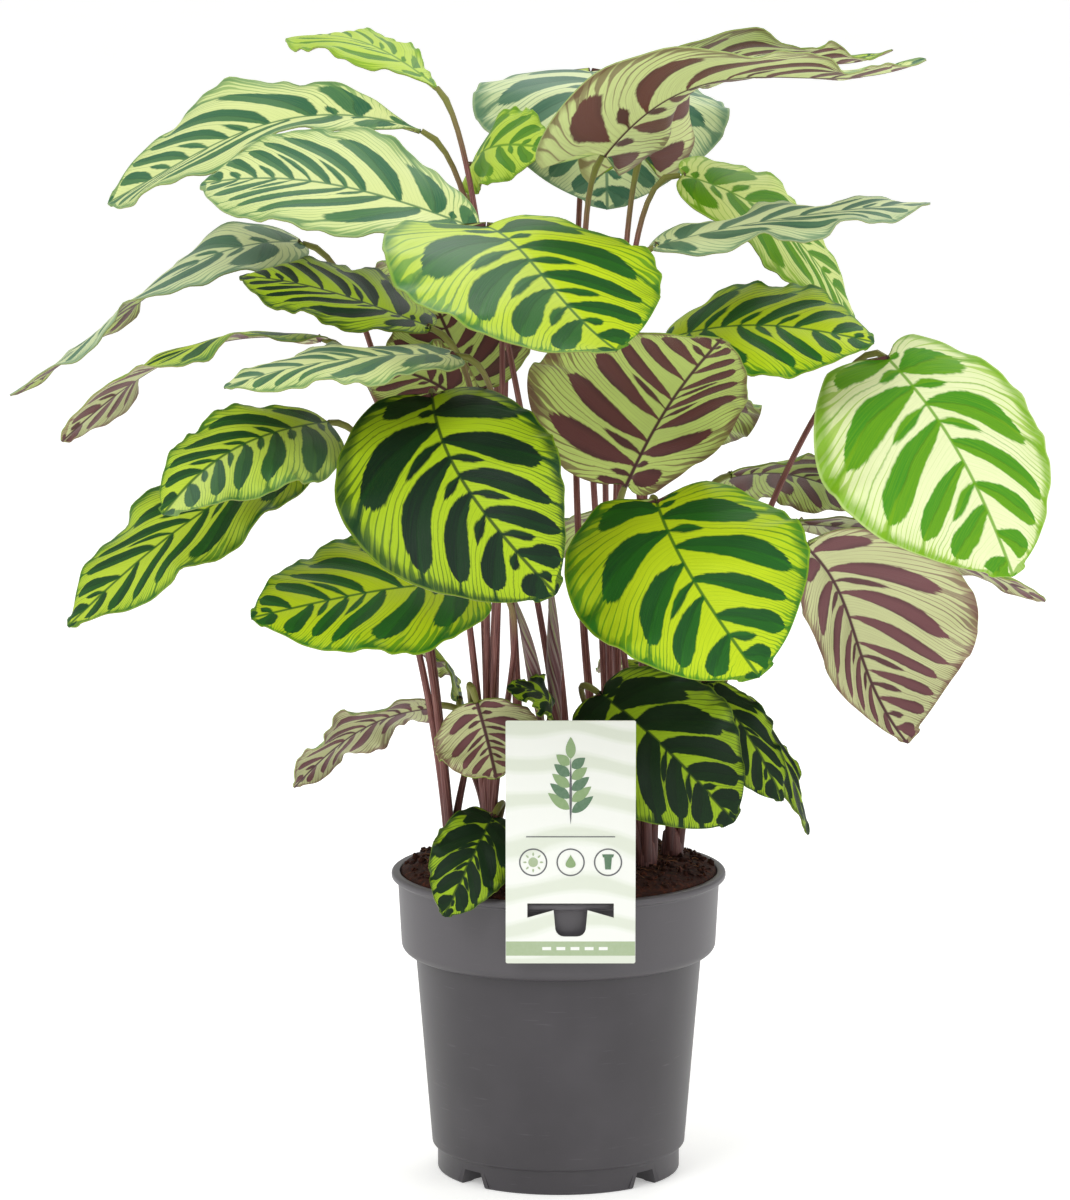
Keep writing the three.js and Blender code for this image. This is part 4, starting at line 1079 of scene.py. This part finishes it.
def cardSkin():  # coated card, bright and smooth with a soft pale green wash of broad curved bands
    skin, add = newSkin("coatedCard")
    place = add("TexCoord").outputs["Object"]
    bands = add("TexWave", Vector=place, Scale=16, Distortion=5, Detail=2, Detail_Scale=0.8,
                wave_type="RINGS", rings_direction="Y")
    tint = tintRamp(add, bands, cardWash, "EASE")
    fibre = add("TexNoise", Vector=place, Scale=900, Detail=3)  # 1 mm paper tooth
    closeSkin(add, tint, (fibre, 0.34, 0.48), (fibre, 0.08, 0.0001), IOR=1.5)
    return skin


def inkSkin(name, hexText):  # flat printing ink, slightly uneven as it lies on the paper
    skin, add = newSkin(name)
    lay = add("TexNoise", Vector=add("TexCoord").outputs["Object"], Scale=700, Detail=2)
    colour = layered(add, hexText, (add("MapRange", lay, 0, 1, 0, 0.12), bareInk))
    closeSkin(add, colour, (lay, 0.34, 0.46), (lay, 0.05, 0.0001))
    return skin


def cardOutline():
    corner = card["corner"]
    right, low, high = card["width"] / 2 - corner, card["bottom"] + corner, card["top"] - corner
    places = ((right, low), (right, high), (-right, high), (-right, low))
    corners = [arc(place, corner, 90 * turn - 90, 90 * turn) for turn, place in enumerate(places)]
    return sum(corners, [])


def cardCut():  # the T-shaped opening: two wings beside a round-ended tongue
    half, tongue, top = card["slotWidth"] / 2, card["tongueWidth"] / 2, card["slotTop"]
    corner, foot = card["tongueCorner"], top - card["tongueLength"] + card["tongueCorner"]
    wing, narrow = card["wingDrop"], tongue - 0.8
    return [
        (-half, top), (-half, top - wing), (-tongue, top - wing / 2), (-narrow, foot),
        *arc((-narrow + corner, foot), corner, 190, 270), *arc((narrow - corner, foot), corner, -90, -10),
        (narrow, foot), (tongue, top - wing / 2), (half, top - wing), (half, top),
    ]


def flatSheet(name, outlines, depth, bevel, front):  # a sheet with holes that stands in the plane of the card
    curve = bpy.data.curves.new(name, "CURVE")
    curve.dimensions, curve.fill_mode = "2D", "BOTH"
    curve.extrude, curve.bevel_depth, curve.bevel_resolution = (depth / 2 - bevel) * mm, bevel * mm, 1
    for outline in outlines:
        spline = curve.splines.new("POLY")
        spline.points.add(len(outline) - 1)
        spline.points.foreach_set("co", [value for x, y in outline for value in (x * mm, y * mm, 0, 1)])
        spline.use_cyclic_u = True
    holder = linked(bpy.data.objects.new(name, curve))
    bpy.context.view_layer.update()
    mesh = bpy.data.meshes.new_from_object(holder.evaluated_get(bpy.context.evaluated_depsgraph_get()))
    bpy.data.objects.remove(holder)
    x, y, z = (np.array([vertex.co for vertex in mesh.vertices]) / mm).T
    faces = [tuple(face.vertices) for face in mesh.polygons]
    bpy.data.meshes.remove(mesh)
    return np.stack([x, front - z, y], axis=1), faces


def hookStrip():  # the tongue, folded back over the rim and down inside it
    back = -(pot["bandTopRadius"] - pot["wall"] - 3)
    low, thick = pot["height"] + 0.3, card["thickness"]
    middle = low + thick / 2
    line = [(card["front"] + 0.1, middle), *arc((back - 0.1, middle - 1.3), 1.3, 90, 0, 6),
            (back + 1.2, low - card["hookDrop"])]
    line = [(min(y, back), z) for y, z in line]
    half = (card["tongueWidth"] - 1) / 2
    points, last = [], len(line) - 1
    for index, (y, z) in enumerate(line):
        run = np.subtract(line[min(last, index + 1)], line[max(0, index - 1)])
        out = np.array([-run[1], run[0]]) / (np.linalg.norm(run) or 1) * thick / 2
        points += [(side, y + out[0] * sign, z + out[1] * sign)
                   for side, sign in ((-half, -1), (half, -1), (half, 1), (-half, 1))]
    return points, ringFaces(last + 1, 4) + [(3, 2, 1, 0), tuple(4 * last + i for i in range(4))], 0


def leaflet(x, y, length, width, heading):  # a pointed oval from its foot at x, y
    c, s = math.cos(math.radians(heading)), math.sin(math.radians(heading))
    outline = [(length * i / 12, width / 2 * math.sin(math.pi * (i / 12) ** 0.8) ** 0.9) for i in range(13)]
    outline += [(a, -b) for a, b in outline[-2:0:-1]]
    return [(x + a * c - b * s, y + a * s + b * c) for a, b in outline]


def bar(x0, y0, x1, y1):
    return [(x0, y0), (x1, y0), (x1, y1), (x0, y1)]


def cardPrint():  # (ink, outlines) for each printed shape, in card millimetres
    half = card["width"] / 2 - 0.02
    prints = [("sage", [bar(-half, 128.8, half, 136.0)])]
    prints += [("paper", [bar(7 * i - 14, 131.6, 7 * i - 9.6, 133.2)]) for i in range(5)]
    for i in range(sprig["pairs"]):
        y, size = sprig["foot"] + sprig["step"] * i, sprig["leaf"] - sprig["shrink"] * i
        tones = ("leaf", "deep") if i % 2 else ("deep", "leaf")
        prints.append((tones[0], [leaflet(0.6, y, size, sprig["leafWidth"], 38)]))
        prints.append((tones[1], [leaflet(-0.6, y + 1.6, size, sprig["leafWidth"], 142)]))
    prints += [("grey", [leaflet(0, 195, 35, 1.3, 90)]), ("leaf", [leaflet(0, 228, 11, 5, 90)])]
    middle = signs["height"]  # care signs: light, water, pot size
    prints += [("grey", [circle(x, middle, radius, 40) for radius in signs["ring"]]) for x in signs["places"]]
    left = signs["places"][0]
    prints.append(("sage", [circle(left, middle, 2.4, 40)]))
    rays = enumerate(circle(left, middle, 3.2, 8))
    prints += [("sage", [leaflet(x, y, 1.9, 0.9, 45 * i)]) for i, (x, y) in rays]
    turns = [2 * math.pi * i / 32 for i in range(32)]
    drop = [(2.5 * math.sin(a) * (1 - math.cos(a)) / 1.3, middle + 0.6 + 3.4 * math.cos(a)) for a in turns]
    tub = [(16, 178.5), (15.6, 180), (21.4, 180), (21, 178.5), (20.4, 178.5), (19.9, 172.4), (17.1, 172.4),
           (16.6, 178.5)]
    return prints + [("leaf", [drop]), ("deep", [tub]), ("grey", [bar(-22, 188.6, 22, 189.1)])]


def makeCard():
    front, thick, ink = card["front"], card["thickness"], card["inkDepth"]
    sheet = flatSheet("cardSheet", [cardOutline(), cardCut()], thick, card["bevel"], front + thick / 2)
    parts = [(*sheet, 0), hookStrip()]
    order = list(inks)
    for layer, (key, outlines) in enumerate(cardPrint()):
        lift = front - ink - card["inkStep"] * layer
        parts.append((*flatSheet("cardInk", outlines, ink, 0.0, lift), order.index(key) + 1))
    points, faces, skinOf = joinMeshes(parts)
    points[:, 0] += card["centreX"]
    skins = [cardSkin()] + [inkSkin(name + "Ink", hexText) for name, hexText in inks.items()]
    addPiece("careCard", points, faces, skins, ["care_card"], 30, skinOf)
    print("care card: faces", len(faces))


addCamera()
addStudio()
print("studio ready")
makePot()
makeSoil()
makeCard()
makeShoots()
makeRolledLeaves()
makeLeaves()
